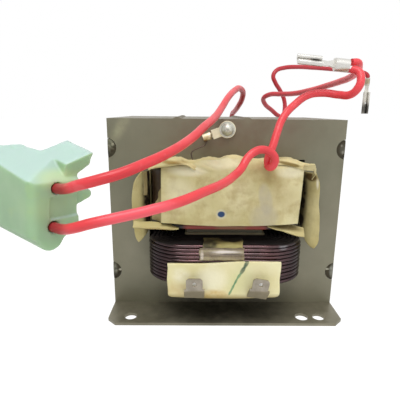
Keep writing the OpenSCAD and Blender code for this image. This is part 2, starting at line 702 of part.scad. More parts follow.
// Push-on terminal: a crimp with the stub of its carrier strip, a tapered neck, and a plate with
// two rolled edges
module push_on_terminal(w, l, crimp_d) {
    plate_x = terminal_crimp_l + terminal_neck_l;
    plate_w = w - terminal_roll_d;
    rotate([0, 90, 0]) cylinder(d = crimp_d, h = terminal_crimp_l);
    translate([terminal_crimp_l - terminal_pin, -terminal_plate / 2, -crimp_d / 2 - terminal_pin])
        cube([terminal_pin, terminal_plate, crimp_d / 2]);
    translate([0, terminal_plate / 2, 0]) rotate([90, 0, 0]) linear_extrude(terminal_plate)
        difference() {
            polygon([
                [terminal_crimp_l / 2, -crimp_d / 2], [terminal_crimp_l, -crimp_d / 2],
                [terminal_crimp_l + terminal_neck_l / 2, -terminal_neck_w / 2],
                [plate_x, -plate_w / 2], [l, -plate_w / 2], [l, plate_w / 2], [plate_x, plate_w / 2],
                [terminal_crimp_l + terminal_neck_l / 2, terminal_neck_w / 2],
                [terminal_crimp_l, crimp_d / 2], [terminal_crimp_l / 2, crimp_d / 2]]);
            translate([(plate_x + l) / 2, 0]) circle(d = terminal_hole_d);
        }
    for (side = [-1, 1])
        translate([plate_x, (terminal_plate - terminal_roll_d) / 2, side * plate_w / 2])
            rotate([0, 90, 0]) cylinder(d = terminal_roll_d, h = l - plate_x);
}
module capacitor_terminal() color("#dcdcd8")
    translate(capacitor_terminal_at) rotate(capacitor_terminal_turn)
        push_on_terminal(terminal_w, terminal_l, 2 * lead_d - 2 * crimp_wall);
module jumper_terminal() color("#c9c9c4")
    translate(jumper_terminal_at) rotate(jumper_terminal_turn)
        push_on_terminal(small_terminal_w, small_terminal_l, lead_d + 2 * crimp_wall);

// Leads
module lead(route, first_normal) color("#d8333c") tube(route, lead_d, 8, first_normal);
module filament_lead_upper() lead(filament_upper_route, [1, 0, 0]);
module filament_lead_lower() lead(filament_lower_route, [0, 0, 1]);
module high_voltage_lead() lead(high_voltage_route, [0, 0, 1]);
module jumper_lead() lead(jumper_route, [0, 0, 1]);

core_e_stack();
core_i_stack();
side_welds();
top_welds();
base_plate();
shunt_left();
shunt_right();
primary_liner();
primary_winding();
primary_pad();
primary_tab_left();
primary_tab_right();
primary_tape();
secondary_liner();
secondary_winding();
filament_winding();
front_panel_paper();
rear_panel_paper();
front_top_paper();
rear_top_paper();
slot_liner_left();
slot_liner_right();
front_flap_left();
front_flap_right();
ground_rivet();
ground_lug();
ground_wire();
connector_housing();
contact_upper();
contact_lower();
capacitor_terminal();
jumper_terminal();
filament_lead_upper();
filament_lead_lower();
high_voltage_lead();
jumper_lead();
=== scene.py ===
"""Looks of a microwave oven transformer: creased insulation papers, an open enamelled winding,
four silicone-rubber leads and the finishes of the steel core, plate, connector and terminals.
Shapes are written in millimetres and put into the meshes in metres."""

import math

import bpy
import numpy as np
from mathutils import Matrix, Vector


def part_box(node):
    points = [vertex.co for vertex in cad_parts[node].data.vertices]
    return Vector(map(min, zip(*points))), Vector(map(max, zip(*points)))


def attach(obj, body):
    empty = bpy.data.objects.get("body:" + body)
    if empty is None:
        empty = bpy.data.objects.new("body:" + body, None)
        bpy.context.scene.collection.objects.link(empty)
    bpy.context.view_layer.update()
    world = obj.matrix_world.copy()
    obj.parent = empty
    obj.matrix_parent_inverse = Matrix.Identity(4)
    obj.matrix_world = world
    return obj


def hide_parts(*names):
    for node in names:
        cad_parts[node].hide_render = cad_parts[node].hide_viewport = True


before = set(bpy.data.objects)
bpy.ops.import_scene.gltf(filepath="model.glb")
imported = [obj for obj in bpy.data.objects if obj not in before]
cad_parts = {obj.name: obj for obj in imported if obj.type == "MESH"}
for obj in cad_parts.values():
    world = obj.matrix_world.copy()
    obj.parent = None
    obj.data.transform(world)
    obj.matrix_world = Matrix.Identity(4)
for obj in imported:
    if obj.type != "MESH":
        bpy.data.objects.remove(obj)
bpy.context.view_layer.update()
MM = 0.001


def node_box(node):
    """Lowest and highest corner of a CAD node, in millimetres."""
    low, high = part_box(node)
    return np.array(low) / MM, np.array(high) / MM


CORE_LOW, CORE_HIGH = node_box("core_e_stack")
PRIMARY_LOW, PRIMARY_HIGH = node_box("primary_winding")
PAD_LOW, PAD_HIGH = node_box("primary_pad")
TAPE_LOW, TAPE_HIGH = node_box("primary_tape")
WELD_LOW, WELD_HIGH = node_box("side_welds")
PANEL_LOW = node_box("front_panel_paper")[0]
LINER_LOW = node_box("slot_liner_right")[0]
WIRE = 1.5

# Camera, at the photograph's place and angle
PHOTO_PIXELS = 400
FOCAL_PIXELS = 370
SENSOR_WIDTH = 36.0
CAMERA_PLACE = (-12, -180.3, 84.3)
CAMERA_PITCH = math.radians(13.56)
CAMERA_YAW = math.radians(-0.53)
CAMERA_ROLL = math.radians(0.515)
NEAREST_SEEN = 10


def add_object(name, data):
    """A new object with this data, put into the scene."""
    added = bpy.data.objects.new(name, data)
    bpy.context.scene.collection.objects.link(added)
    return added


def make_camera():
    """A camera that looks along +Y, then is pitched down, turned about Z and rolled about its own axis."""
    data = bpy.data.cameras.new("photo_camera")
    data.sensor_width = SENSOR_WIDTH
    data.lens = SENSOR_WIDTH * FOCAL_PIXELS / PHOTO_PIXELS
    data.clip_start = NEAREST_SEEN * MM
    camera = add_object("photo_camera", data)
    turn = (Matrix.Rotation(CAMERA_YAW, 4, "Z")
            @ Matrix.Rotation(math.pi / 2 - CAMERA_PITCH, 4, "X")
            @ Matrix.Rotation(CAMERA_ROLL, 4, "Z"))
    camera.matrix_world = Matrix.Translation(Vector(CAMERA_PLACE) * MM) @ turn
    bpy.context.scene.camera = camera


make_camera()

# Materials


def srgb(code):
    """Linear colour with full alpha from an sRGB hex code."""
    channels = np.array([int(code[i:i + 2], 16) for i in (1, 3, 5)]) / 255
    linear = np.where(channels <= 0.04045, channels / 12.92, ((channels + 0.055) / 1.055) ** 2.4)
    return (*linear.tolist(), 1.0)


def per_mm(size):
    """Texture scale at which one feature is about that many millimetres."""
    return 1 / (size * MM)


def put(tree, kind, inputs=None, **settings):
    """Adds a node with its settings. An input takes a value, a socket, or a node's first output."""
    node = tree.nodes.new(kind)
    for key, value in settings.items():
        setattr(node, key, value)
    for key, value in (inputs or {}).items():
        if isinstance(value, bpy.types.Node):
            value = value.outputs[0]
        if isinstance(value, bpy.types.NodeSocket):
            tree.links.new(value, node.inputs[key])
        else:
            node.inputs[key].default_value = value
    return node


def empty_tree(owner):
    """The node tree of a material or a world, cleared."""
    owner.use_nodes = True
    owner.node_tree.nodes.clear()
    return owner.node_tree


def wave_scale(width):
    """Scale of a wave texture whose light and dark bands are each that many millimetres wide. Its bands are a
    sine of 20 times the place, so half a wave is pi / 20 of a unit."""
    return per_mm(width) * math.pi / 20


# Most of a noise texture lies between these values
NOISE_LOW = 0.32
NOISE_HIGH = 0.68
NOISE_ROUGHNESS = 0.55


class Finish:
    """A material in the making: its node tree, the piece's own coordinates and the colour so far."""

    def __init__(self, name, colour):
        self.material = bpy.data.materials.new(name)
        self.tree = empty_tree(self.material)
        self.spot = put(self.tree, "ShaderNodeTexCoord").outputs["Object"]
        self.colour = srgb(colour)

    def grain(self, size, low=0.0, high=1.0, detail=3.0, stretch=(1, 1, 1)):
        """Cloudy mask of that feature size in millimetres, spread so that it runs from low to high."""
        drawn = put(self.tree, "ShaderNodeMapping", {"Vector": self.spot, "Scale": stretch})
        noise = put(self.tree, "ShaderNodeTexNoise",
                    {"Vector": drawn, "Scale": per_mm(size), "Detail": detail, "Roughness": NOISE_ROUGHNESS})
        return put(self.tree, "ShaderNodeMapRange", {
            "Value": noise, "From Min": NOISE_LOW, "From Max": NOISE_HIGH, "To Min": low, "To Max": high})

    def patch(self, centre, reach, share=1.0, core=0.3, turn=0.0):
        """Mask of an ellipsoid, its centre and reach in millimetres, turned about Y: the share within its
        core, and from there smoothly down to 0 at its rim."""
        local = put(self.tree, "ShaderNodeMapping", {
            "Vector": self.spot, "Location": Vector(centre) * MM, "Rotation": (0, math.radians(turn), 0),
            "Scale": Vector(reach) * MM}, vector_type="TEXTURE")
        far = put(self.tree, "ShaderNodeVectorMath", {0: local}, operation="LENGTH")
        return put(self.tree, "ShaderNodeMapRange", {
            "Value": far.outputs["Value"], "From Min": core, "From Max": 1.0, "To Min": share, "To Max": 0.0},
            interpolation_type="SMOOTHSTEP")

    def tint(self, code, *masks):
        """Changes the colour so far to this one, as far as the product of the masks says."""
        share = masks[0]
        for mask in masks[1:]:
            share = put(self.tree, "ShaderNodeMath", {0: share, 1: mask}, operation="MULTIPLY")
        self.colour = put(self.tree, "ShaderNodeMixRGB",
                          {"Fac": share, "Color1": self.colour, "Color2": srgb(code)})

    def spots(self, *marks):
        """Tints even patches, each given as its centre, reach, share, colour and perhaps its core."""
        for centre, reach, share, code, *core in marks:
            self.tint(code, self.patch(centre, reach, share, *core))

    def close(self, sockets, height=None, depth=0.0):
        """Ends the material with a shader of the colour so far and these sockets, and with a relief that is
        that many millimetres deep."""
        sockets["Base Color"] = self.colour
        if height is not None:
            sockets["Normal"] = put(self.tree, "ShaderNodeBump",
                                    {"Height": height, "Distance": depth * MM, "Strength": 1.0})
        shader = put(self.tree, "ShaderNodeBsdfPrincipled", sockets)
        put(self.tree, "ShaderNodeOutputMaterial", {"Surface": shader})
        return self.material


def core_steel():
    """Silicon steel laminations, dipped in varnish: a dull olive grey with brown varnish clouds. The sheets'
    edges show as fine lines on the top and the sides, drawn 2.4 mm apart so that they show."""
    steel = Finish("varnished silicon steel", "#777562")
    tree = steel.tree
    steel.tint("#817d6a", steel.grain(26))
    steel.tint("#736554", steel.patch((4, -30, 76), (42, 20, 17)), steel.grain(9, 0.3))
    # Painted highlight: a pale diagonal streak at the top left corner of the front.
    painted_highlight_streak = steel.patch((-42.8, -30, 77.2), (3.4, 12, 9), 1.0, 0.0, 34)
    steel.tint("#aeab8b", painted_highlight_streak, steel.grain(5, 0.3, 0.8))
    # Painted light: the lower part of the face is made a little paler, where the lamps' light falls off.
    steel.tint("#8d8a77", steel.patch((0, -30, 24), (75, 12, 26), 0.35, 0.4))
    # Painted shadow of the coil and the pad on the low middle of the front.
    steel.tint("#3f3b30", steel.patch((0, -30, 3), (36, 16, 15)), steel.grain(7, 0.4))
    normal = put(tree, "ShaderNodeSeparateXYZ", {0: put(tree, "ShaderNodeNewGeometry").outputs["Normal"]})
    facing = put(tree, "ShaderNodeMath", {0: normal.outputs["Y"]}, operation="ABSOLUTE")
    edge_on = put(tree, "ShaderNodeMapRange",
                  {"Value": facing, "From Min": 0.3, "From Max": 0.7, "To Min": 1.0, "To Max": 0.0})
    lines = put(tree, "ShaderNodeTexWave", {
        "Vector": steel.spot, "Scale": wave_scale(1.2), "Distortion": 0.4, "Detail": 2.0,
        "Detail Scale": 1.5}, bands_direction="Y")
    sheet_line = put(tree, "ShaderNodeMath", {0: lines, 1: edge_on}, operation="MULTIPLY")
    steel.tint("#4b473b", sheet_line, 0.55)
    steel.tint("#8a8270", edge_on, steel.grain(12, 0.1, 0.5))
    rolled = steel.grain(1.6, 0.0, 0.25, 4.0, (1, 1, 0.06))
    height = put(tree, "ShaderNodeMath", {0: rolled, 1: sheet_line}, operation="ADD")
    return steel.close({"Metallic": 0.55, "Roughness": steel.grain(7, 0.42, 0.6), "Coat Weight": 0.12,
                        "Coat Roughness": 0.35}, height, 0.06)


def weld_metal(name, dark, bright, crust, *marks):
    """Weld bead on steel: dark oxide with brighter ripples where the pool set, and marks of its own, among
    them painted glints.
    """
    weld = Finish(name, dark)
    ripple = put(weld.tree, "ShaderNodeTexWave", {
        "Vector": weld.spot, "Scale": wave_scale(1.6), "Distortion": 3.0, "Detail": 2.0}, bands_direction="Y")
    weld.tint(bright, ripple)
    weld.tint(crust, weld.grain(4, 0.0, 0.8))
    weld.spots(*marks)
    return weld.close({"Metallic": 0.5, "Roughness": weld.grain(2, 0.5, 0.75)}, ripple, 0.25)


def plate_steel():
    """Plated steel sheet under the same varnish: smooth, with soft streaks, and a painted shadow below the
    coil.
    """
    plate = Finish("varnished plated steel", "#6f6b5a")
    plate.tint("#86816f", plate.grain(18))
    # Painted shadow of the coil on the plate.
    plate.tint("#2b281f", plate.patch((1, -36, 1), (40, 16, 6), 1.0, 0.2), plate.grain(8, 0.6))
    plate.tint("#9c9783", plate.grain(3, 0.0, 0.25, 5.0))
    return plate.close({"Metallic": 0.6, "Roughness": plate.grain(6, 0.34, 0.52)}, plate.grain(5), 0.05)


def shunt_steel():
    """Bare lamination strips of the shunts, dark with varnish."""
    steel = Finish("shunt laminations", "#3f3a31")
    steel.tint("#585245", steel.grain(5))
    return steel.close({"Metallic": 0.6, "Roughness": 0.5}, steel.grain(1.2), 0.05)


# Shade is painted on the wire from here outwards, to each side
SIDE_SHADE_FROM = 13
SIDE_SHADE_TO = 27
# A shadow is painted on the top of the coil from here up, below its top, and from here inwards, behind its
# front face
TOP_SHADOW_LOW = 0.75
TOP_SHADOW_FULL = 0.35
TOP_SHADOW_EDGE = 0.9
TOP_SHADOW_INSIDE = 1.4


def enamelled_wire():
    """Copper wire under a thick dark enamel: purple brown and glossy, with paler clouds and one pale grey
    spot, painted shade round the sides, and a painted shadow that leaves the top of the coil dull and nearly
    black."""
    wire = Finish("enamelled copper wire", "#41282a")
    tree = wire.tree
    place = put(tree, "ShaderNodeSeparateXYZ", {0: wire.spot})
    across, depth = (
        put(tree, "ShaderNodeMath", {0: place.outputs[axis]}, operation="ABSOLUTE") for axis in "XY")
    wire.tint("#633f41", wire.grain(9))
    wire.tint("#2a1718", wire.grain(3, -0.6, 0.4))
    painted_side_shade = put(tree, "ShaderNodeMapRange", {
        "Value": across, "From Min": SIDE_SHADE_FROM * MM, "From Max": SIDE_SHADE_TO * MM, "To Max": 0.85})
    # Painted shade on both sides of the coil, which also dulls their gloss below.
    wire.tint("#251b1d", painted_side_shade)
    wire.tint("#8d8b8e", wire.patch((22, -44.5, 32.8), (2.6, 5, 1.5), 0.6))
    face, top = PRIMARY_HIGH[1:]
    high_up = put(tree, "ShaderNodeMapRange", {
        "Value": place.outputs["Z"], "From Min": (top - TOP_SHADOW_LOW) * MM, "From Max": (top - TOP_SHADOW_FULL) * MM})
    inner = put(tree, "ShaderNodeMapRange", {
        "Value": depth, "From Min": (face - TOP_SHADOW_INSIDE) * MM, "From Max": (face - TOP_SHADOW_EDGE) * MM,
        "To Min": 1.0, "To Max": 0.0})
    painted_top_shadow = put(tree, "ShaderNodeMath", {0: high_up, 1: inner}, operation="MULTIPLY")
    # Painted shadow of the panel on the top of the coil: nearly black.
    wire.tint("#160f0c", painted_top_shadow)
    dull = put(tree, "ShaderNodeMath", {0: painted_top_shadow, 1: painted_side_shade}, operation="MAXIMUM")
    # Under the painted shade and shadow the coat goes; under the painted shadow the wire is also less
    # metallic and rougher.
    gloss, metal, rough = (
        put(tree, "ShaderNodeMapRange", {"Value": mask, "To Min": clean, "To Max": soiled})
        for mask, clean, soiled in ((dull, 0.9, 0.0), (painted_top_shadow, 0.8, 0.0), (painted_top_shadow, 0.24, 0.7)))
    return wire.close({"Metallic": metal, "Roughness": rough, "Specular IOR Level": 0.3, "Coat Weight": gloss,
                       "Coat Roughness": 0.12}, wire.grain(3), 0.015)


def clouded_paper(name, light, dark, soak_and_shade, stains_and_painted_light, mottle=0.2):
    """The colours of aged insulating paper: cream and softly clouded, with brown patches where varnish soaked
    in, and with patches of painted shade and painted highlight given the same way. A patch is its centre,
    reach, turn and depth, and perhaps a colour of its own."""
    paper = Finish(name, light)
    paper.tint(dark, paper.grain(13))
    paper.tint(soak_and_shade, paper.grain(4.5, -0.3, mottle, 4.0))
    for centre, reach, turn, depth, *own in stains_and_painted_light:
        # The patches hold varnish stain and painted shade and highlight alike.
        soaked = paper.patch(centre, reach, turn=turn)
        paper.tint(own[0] if own else soak_and_shade, soaked, paper.grain(5, 0.45 * depth, depth))
    return paper


def fibrous(paper):
    """Ends a paper with a matt, faintly fibrous surface that lets a little light in."""
    fibre = paper.grain(1.0, 0.0, 1.0, 5.0, (1, 1, 0.45))
    height = put(paper.tree, "ShaderNodeMath", {0: fibre, 1: paper.grain(5, 0.0, 2.0)}, operation="ADD")
    return paper.close({
        "Roughness": paper.grain(3, 0.55, 0.75), "Specular IOR Level": 0.3, "Subsurface Weight": 0.08,
        "Subsurface Radius": (0.8, 0.6, 0.3), "Subsurface Scale": 1.0 * MM}, height, 0.06)


def insulation_paper(name, light, dark, soak_and_shade, *stains_and_painted_light):
    """Aged insulating paper: clouded, with the stain patches and painted light it is given, and faintly
    fibrous.
    """
    return fibrous(clouded_paper(name, light, dark, soak_and_shade, stains_and_painted_light))


INK_DOT = (-2.8, -47.6, 46.8)


def panel_paper():
    """The wrap on the front of the secondary: a painted shadow under the hook of the leads and brown clouds
    below it, a grey rubbed place at the low right, pale bands along the top, which are painted highlight, and
    a pale band at the left, and a blue dot of ink with a pale halo."""
    paper = clouded_paper("aged wrap paper", "#d6cda0", "#bfb580", "#a08a56", [
        # The first patch, under the hook of the leads, is a painted shadow; the rest are brown clouds.
        ((13.5, -47, 61.5), (10, 8, 4.5), 20, 0.6), ((16.5, -47, 53), (5, 8, 10), 25, 0.3),
        ((-24, -46, 50), (4, 6, 9), 0, 0.25), ((-8, -47, 43.5), (24, 8, 2.5), 0, 0.25),
        ((21.5, -47, 53), (7, 8, 9), 0, 0.35)], 0.5)
    for centre, reach, turn in (((13.6, -47, 52.5), (3.0, 8, 7.5), -12),
                                ((13.2, -47, 45.3), (6.6, 8, 6.5), 0)):
        paper.tint("#b3ab94", paper.patch(centre, reach, 1.0, 0.6, turn), paper.grain(6, 0.35, 0.75))
    # Painted highlight: pale bands along the top, where the panel bends back towards the light; the fourth
    # band is at the left.
    for centre, reach, share in (((-15.5, -47, 62.9), (9.5, 8, 2.7), 0.75), ((23, -47, 62.6), (7, 8, 3), 0.6),
                                 ((-3, -46, 65.8), (11, 8, 3), 0.45), ((-19, -47, 55), (8, 8, 8), 0.35)):
        paper.tint("#e6e0c2", paper.patch(centre, reach, share))
    paper.spots((INK_DOT, (2.5, 5, 2.4), 0.45, "#cbcbbd", 0.5),
                (INK_DOT, (1.6, 5, 1.35), 1.0, "#2b4468", 0.7))
    return fibrous(paper)


CARD_FACE = -47.9
CARD_MARK_DEPTH = 6
# Marks on the card: place in X and Z, reach in X and Z, share and colour. The two orange marks are the card's
# own; the pale mark beside the left blade is painted light, and the white marks behind the blades' dimples
# are painted glints.
CARD_MARKS_AND_LIGHT = [
    (-20, 16, 7, 5, 0.35, "#c79a4e"), (-5, 13.8, 8, 3.2, 0.8, "#c9a24a"),
    (-17.8, 22.2, 5, 4.5, 0.6, "#fffae2"), (-12.8, 18.5, 1.6, 1.6, 2.0, "#ffffff"),
    (13.3, 18.6, 1.6, 1.6, 2.0, "#ffffff")]
# Corners of the marker's streak: place in X and Z, and half its width
MARKER = [(8, 28.6, 1.0), (6.7, 25.6, 1.0), (5.3, 23.0, 0.7), (4.1, 21.0, 0.55), (2.9, 18.4, 0.55),
          (1.8, 15.9, 0.6), (1, 14.1, 0.6)]
BROAD_STREAK = 0.9
SOILED_HEIGHT = 1.9


def pad_card():
    """Pressboard pad: smooth pale yellow card with a painted highlight in its middle, orange at the low left,
    painted light beside the left blade and painted glints behind the blades' dimples, soiled along its lower
    edge and with a streak of green marker."""
    card = Finish("pressboard card", "#efe8bc")
    card.tint("#e6dda6", card.grain(10))
    # Painted highlight in the middle of the card.
    card.tint("#f8f3d2", card.patch((-6, CARD_FACE, 20.5), (9, CARD_MARK_DEPTH, 7), 0.8))
    for x, z, wide, tall, share, code in CARD_MARKS_AND_LIGHT:
        mark = card.patch((x, CARD_FACE, z), (wide, CARD_MARK_DEPTH, tall))
        card.tint(code, mark, card.grain(3, 0.4 * share, share))
    card.tint("#d3d79e", card.patch((5, CARD_FACE, 20), (7, CARD_MARK_DEPTH, 9), 0.35, turn=25))
    for (x, z, wide), (next_x, next_z, _) in zip(MARKER, MARKER[1:]):
        middle = ((x + next_x) / 2, CARD_FACE, (z + next_z) / 2)
        run = math.hypot(x - next_x, z - next_z)
        lean = math.degrees(math.atan2(x - next_x, z - next_z))
        stroke = card.patch(middle, (wide, CARD_MARK_DEPTH, 0.85 * run), 1.0, 0.5, lean)
        card.tint("#2f5240" if wide > BROAD_STREAK else "#4a8a63", stroke, card.grain(1.5, 0.6, 0.95))
    height = put(card.tree, "ShaderNodeSeparateXYZ", {0: card.spot}).outputs["Z"]
    soiled = put(card.tree, "ShaderNodeMapRange", {
        "Value": height, "From Min": PAD_LOW[2] * MM, "From Max": (PAD_LOW[2] + SOILED_HEIGHT) * MM,
        "To Min": 0.8, "To Max": 0.0})
    card.tint("#87743c", soiled)
    return card.close({"Roughness": card.grain(5, 0.45, 0.65), "Specular IOR Level": 0.4},
                      card.grain(3, 0.0, 1.0, 4.0), 0.08)


def winding_tape():
    """Yellowed clear tape on the wire: glossy and cloudy, with a whitish painted highlight on its upper half
    and a painted reflection along its middle, and olive where it sticks."""
    tape = Finish("yellowed clear tape", "#75654a")
    row = put(tape.tree, "ShaderNodeTexWave", {
        "Vector": tape.spot, "Scale": wave_scale(WIRE), "Distortion": 2.5, "Detail": 3.0},
        bands_direction="Z")
    tape.tint("#9c8f6c", row)
    # Painted highlight: a whitish band along the upper half.
    tape.tint("#d2c7b3", tape.patch((-1, -46.5, 31.3), (9, 4, 1.5)), tape.grain(3, 0.5))
    tape.tint("#6f6048", tape.grain(3.5, -0.5, 0.5))
    # Painted reflection: a bright streak along the middle with a dark line under it; then a pale band of
    # whiter tape at the left edge.
    tape.spots(((-0.5, -46.6, 31.5), (7, 4, 0.7), 0.9, "#efe6df"),
               ((1, -46.6, 30.5), (7, 4, 0.45), 0.8, "#3d2d27"),
               ((-9.8, -46.6, 30), (0.9, 4, 3), 0.7, "#d6cabb"))
    return tape.close({"Roughness": tape.grain(2.5, 0.2, 0.45), "Coat Weight": 0.4, "Coat Roughness": 0.15},
                      tape.grain(2.5), 0.25)


def varnished_winding():
    """Fine wire under soaked brown varnish: nearly black, with its layers as low ridges."""
    winding = Finish("varnished fine winding", "#2a1a0d")
    winding.tint("#3d2a17", winding.grain(8))
    layers = put(winding.tree, "ShaderNodeTexWave", {
        "Vector": winding.spot, "Scale": wave_scale(1.1), "Distortion": 1.0, "Detail": 2.0},
        bands_direction="Z")
    return winding.close({"Roughness": winding.grain(4, 0.4, 0.6), "Specular IOR Level": 0.25,
                          "Coat Weight": 0.1, "Coat Roughness": 0.25}, layers, 0.1)


def dull_tin():
    """Tinned brass blades gone grey: matt, and darker and browner towards the foot."""
    tin = Finish("dull tinned brass", "#8f8779")
    tin.tint("#a69e90", tin.grain(3))
    tin.tint("#7d7357", tin.patch((0, -50, 13.4), (60, 12, 4.6), 0.8, 0.75))
    return tin.close({"Metallic": 0.75, "Roughness": tin.grain(2, 0.35, 0.5)}, tin.grain(0.8), 0.02)


def bright_tin(name, light, scuff, scuffed, *marks):
    """Tinned strip of the push-on terminals: pale and smooth, grey where it is scuffed or tarnished."""
    tin = Finish(name, light)
    tin.tint(scuff, tin.grain(5, scuffed - 0.6, scuffed))
    tin.spots(*marks)
    return tin.close({"Metallic": 0.75, "Roughness": tin.grain(4, 0.24, 0.36)}, tin.grain(4), 0.03)


def zinc_rivet():
    """Zinc-plated rivet: grey-white and softly bright, with handling marks."""
    zinc = Finish("zinc-plated steel", "#b9baae")
    zinc.tint("#cfd0c5", zinc.grain(2))
    return zinc.close({"Metallic": 0.55, "Roughness": zinc.grain(2, 0.36, 0.5)}, zinc.grain(1.5), 0.02)


def tinned_lug():
    """Tinned copper lug: creamy pale strip with brown specks and a yellow, flux-stained crimp."""
    lug = Finish("tinned copper", "#faf4d9")
    lug.tint("#ece4c4", lug.grain(2))
    lug.tint("#a9873f", lug.patch((-8.5, -31, 73.6), (3.2, 4, 3)), lug.grain(1.2, 0.1))
    lug.spots(((-8.6, -31.5, 72.5), (2.4, 4, 1.2), 0.85, "#6b3f1c"),
              ((-6.3, -31.5, 74.4), (0.8, 4, 2.2), 0.85, "#6d5a2c"))
    return lug.close({"Metallic": 0.3, "Roughness": lug.grain(1.5, 0.3, 0.5)}, lug.grain(0.9), 0.05)


def wire_strand():
    """Thin dark strand of the ground wire, browned by flux."""
    strand = Finish("tarnished strand", "#3c2d28")
    strand.tint("#5f4c42", strand.grain(2))
    return strand.close({"Metallic": 0.5, "Roughness": 0.45})


def contact_brass():
    """Stamped brass of the connector's contacts: bright yellow, with softer places."""
    brass = Finish("stamped brass", "#b8994f")
    brass.tint("#cdb26c", brass.grain(3))
    return brass.close({"Metallic": 0.95, "Roughness": brass.grain(2, 0.22, 0.38)})


def green_nylon():
    """Moulded natural nylon, tinted pale green: waxy and slightly see-through, yellower in places, and
    painted paler where it faces up, as light from above."""
    nylon = Finish("pale green nylon", "#93b48e")
    tree = nylon.tree
    nylon.tint("#a0c098", nylon.grain(14))
    nylon.tint("#a9c286", nylon.grain(5, -0.7, 0.3))
    normal = put(tree, "ShaderNodeSeparateXYZ", {0: put(tree, "ShaderNodeNewGeometry").outputs["Normal"]})
    # Painted light: faces that look up are made paler.
    painted_top_light = put(tree, "ShaderNodeMapRange",
                   {"Value": normal.outputs["Z"], "From Min": 0.25, "From Max": 0.85})
    nylon.tint("#b2cdc3", painted_top_light)
    nylon.spots(((-48, -85.5, 66.8), (8, 8, 3.6), 0.75, "#c2d8a4"),
                ((-53, -86, 60), (6, 8, 6), 0.5, "#b2cb94"),
                ((-48.5, -84, 59), (4.5, 8, 4.5), 0.5, "#a6c498"))
    return nylon.close({
        "Roughness": nylon.grain(6, 0.38, 0.5), "IOR": 1.53, "Subsurface Weight": 0.5,
        "Subsurface Radius": (0.75, 1.0, 0.75), "Subsurface Scale": 6 * MM}, nylon.grain(5), 0.04)


# Shade is painted on the rubber from here backwards
FAR_SHADE_FROM = 10
FAR_SHADE_TO = 80


def silicone_rubber(name, red, light, dust, *stains_and_painted_light):
    """Silicone-rubber insulation: saturated and satin, with dust-pale scuffs, with stained places and patches
    of painted light and shade as given, and with painted shade behind the core."""
    rubber = Finish(name, red)
    rubber.tint(light, rubber.grain(14))
    rubber.tint(dust, rubber.grain(4, -0.8, 0.2))
    depth = put(rubber.tree, "ShaderNodeSeparateXYZ", {0: rubber.spot}).outputs["Y"]
    # Painted shade: the rubber darkens towards the back of the part.
    behind = put(rubber.tree, "ShaderNodeMapRange", {
        "Value": depth, "From Min": FAR_SHADE_FROM * MM, "From Max": FAR_SHADE_TO * MM, "To Max": 0.6})
    rubber.tint("#95222e", behind)
    rubber.spots(*stains_and_painted_light)
    return rubber.close({"Roughness": rubber.grain(5, 0.3, 0.42), "IOR": 1.43}, rubber.grain(4), 0.03)


CORE_FINISH = core_steel()
WELD_RADIUS = 3.9
WELD_HEIGHTS = (WELD_LOW[2] + WELD_RADIUS, WELD_HIGH[2] - WELD_RADIUS)
WELD_FACE = -30.2
WELD_MARK_DEPTH = 2
# Marks on the front face of each bead, by side and level: how far in from the side, height, reach in X and Z,
# share and colour. The small pale marks high on the upper beads are painted glints.
WELD_MARKS_AND_GLINTS = {
    (-1, 1): [(0.8, 2.2, 2.6, 3.0, 0.8, "#7c7c67"), (0.3, -0.4, 1.3, 2.6, 0.6, "#6b6858"),
              (2.0, 1.5, 0.8, 0.9, 0.8, "#a5a18a"), (0.1, -2.0, 0.9, 1.2, 0.8, "#35332a")],
    (1, 1): [(0.9, 0.2, 1.7, 2.8, 0.8, "#605d50"), (1.5, 1.7, 0.6, 0.7, 0.8, "#8f8b7e"),
             (0.7, -1.0, 0.7, 1.0, 0.8, "#87847a"), (0.6, -2.7, 0.9, 0.9, 0.9, "#2c2a20")],
    (1, 0): [(0.3, 0.2, 1.7, 4.2, 0.9, "#86867b"), (3.0, 1.0, 1.9, 0.6, 0.9, "#a6a492"),
             (1.0, 1.4, 0.9, 0.8, 0.6, "#8a8a80")],
    (-1, 0): [(0.4, 0.6, 1.8, 3.8, 0.85, "#7d7c6e"), (3.2, 0.3, 1.4, 0.7, 0.95, "#bdb9a6"),
              (0.6, -1.9, 0.9, 1.0, 0.8, "#3a372c")]}
# The bead's dark base colour, left as a crescent along each groove's inner arc, is partly oxide and partly
# painted shade of the recess.
WELD_FINISH = weld_metal("weld bead", "#2c281b", "#46402d", "#332d1f", *(
    ((side * (CORE_HIGH[0] - inset), WELD_FACE, WELD_HEIGHTS[level] + up), (wide, WELD_MARK_DEPTH, tall),
     share, code)
    for (side, level), marks in WELD_MARKS_AND_GLINTS.items() for inset, up, wide, tall, share, code in marks))
TOP_WELD_FINISH = weld_metal("varnished weld bead", "#5b5648", "#8d8674", "#6d6757")
PLATE_FINISH = plate_steel()
SHUNT_FINISH = shunt_steel()
WIRE_FINISH = enamelled_wire()
PANEL_FINISH = panel_paper()
# The two patches on the curled leaf at the left and the brown band under the lip at the right are painted
# shade.
WRAP_FINISH = insulation_paper(
    "creased wrap paper", "#d9cd9e", "#c9bc86", "#967d45",
    ((-20.2, -46, 66.1), (6.5, 6, 1.1), 0, 1.3), ((-24, -46, 63.9), (5, 6, 0.8), -10, 0.8),
    ((21.8, -46, 65.6), (6.5, 3, 0.9), 12, 1.6, "#7d6a38"), ((31, -42, 60), (3, 8, 5), 0, 0.6),
    ((-8, -47, 63), (9, 6, 3), 12, 0.3))
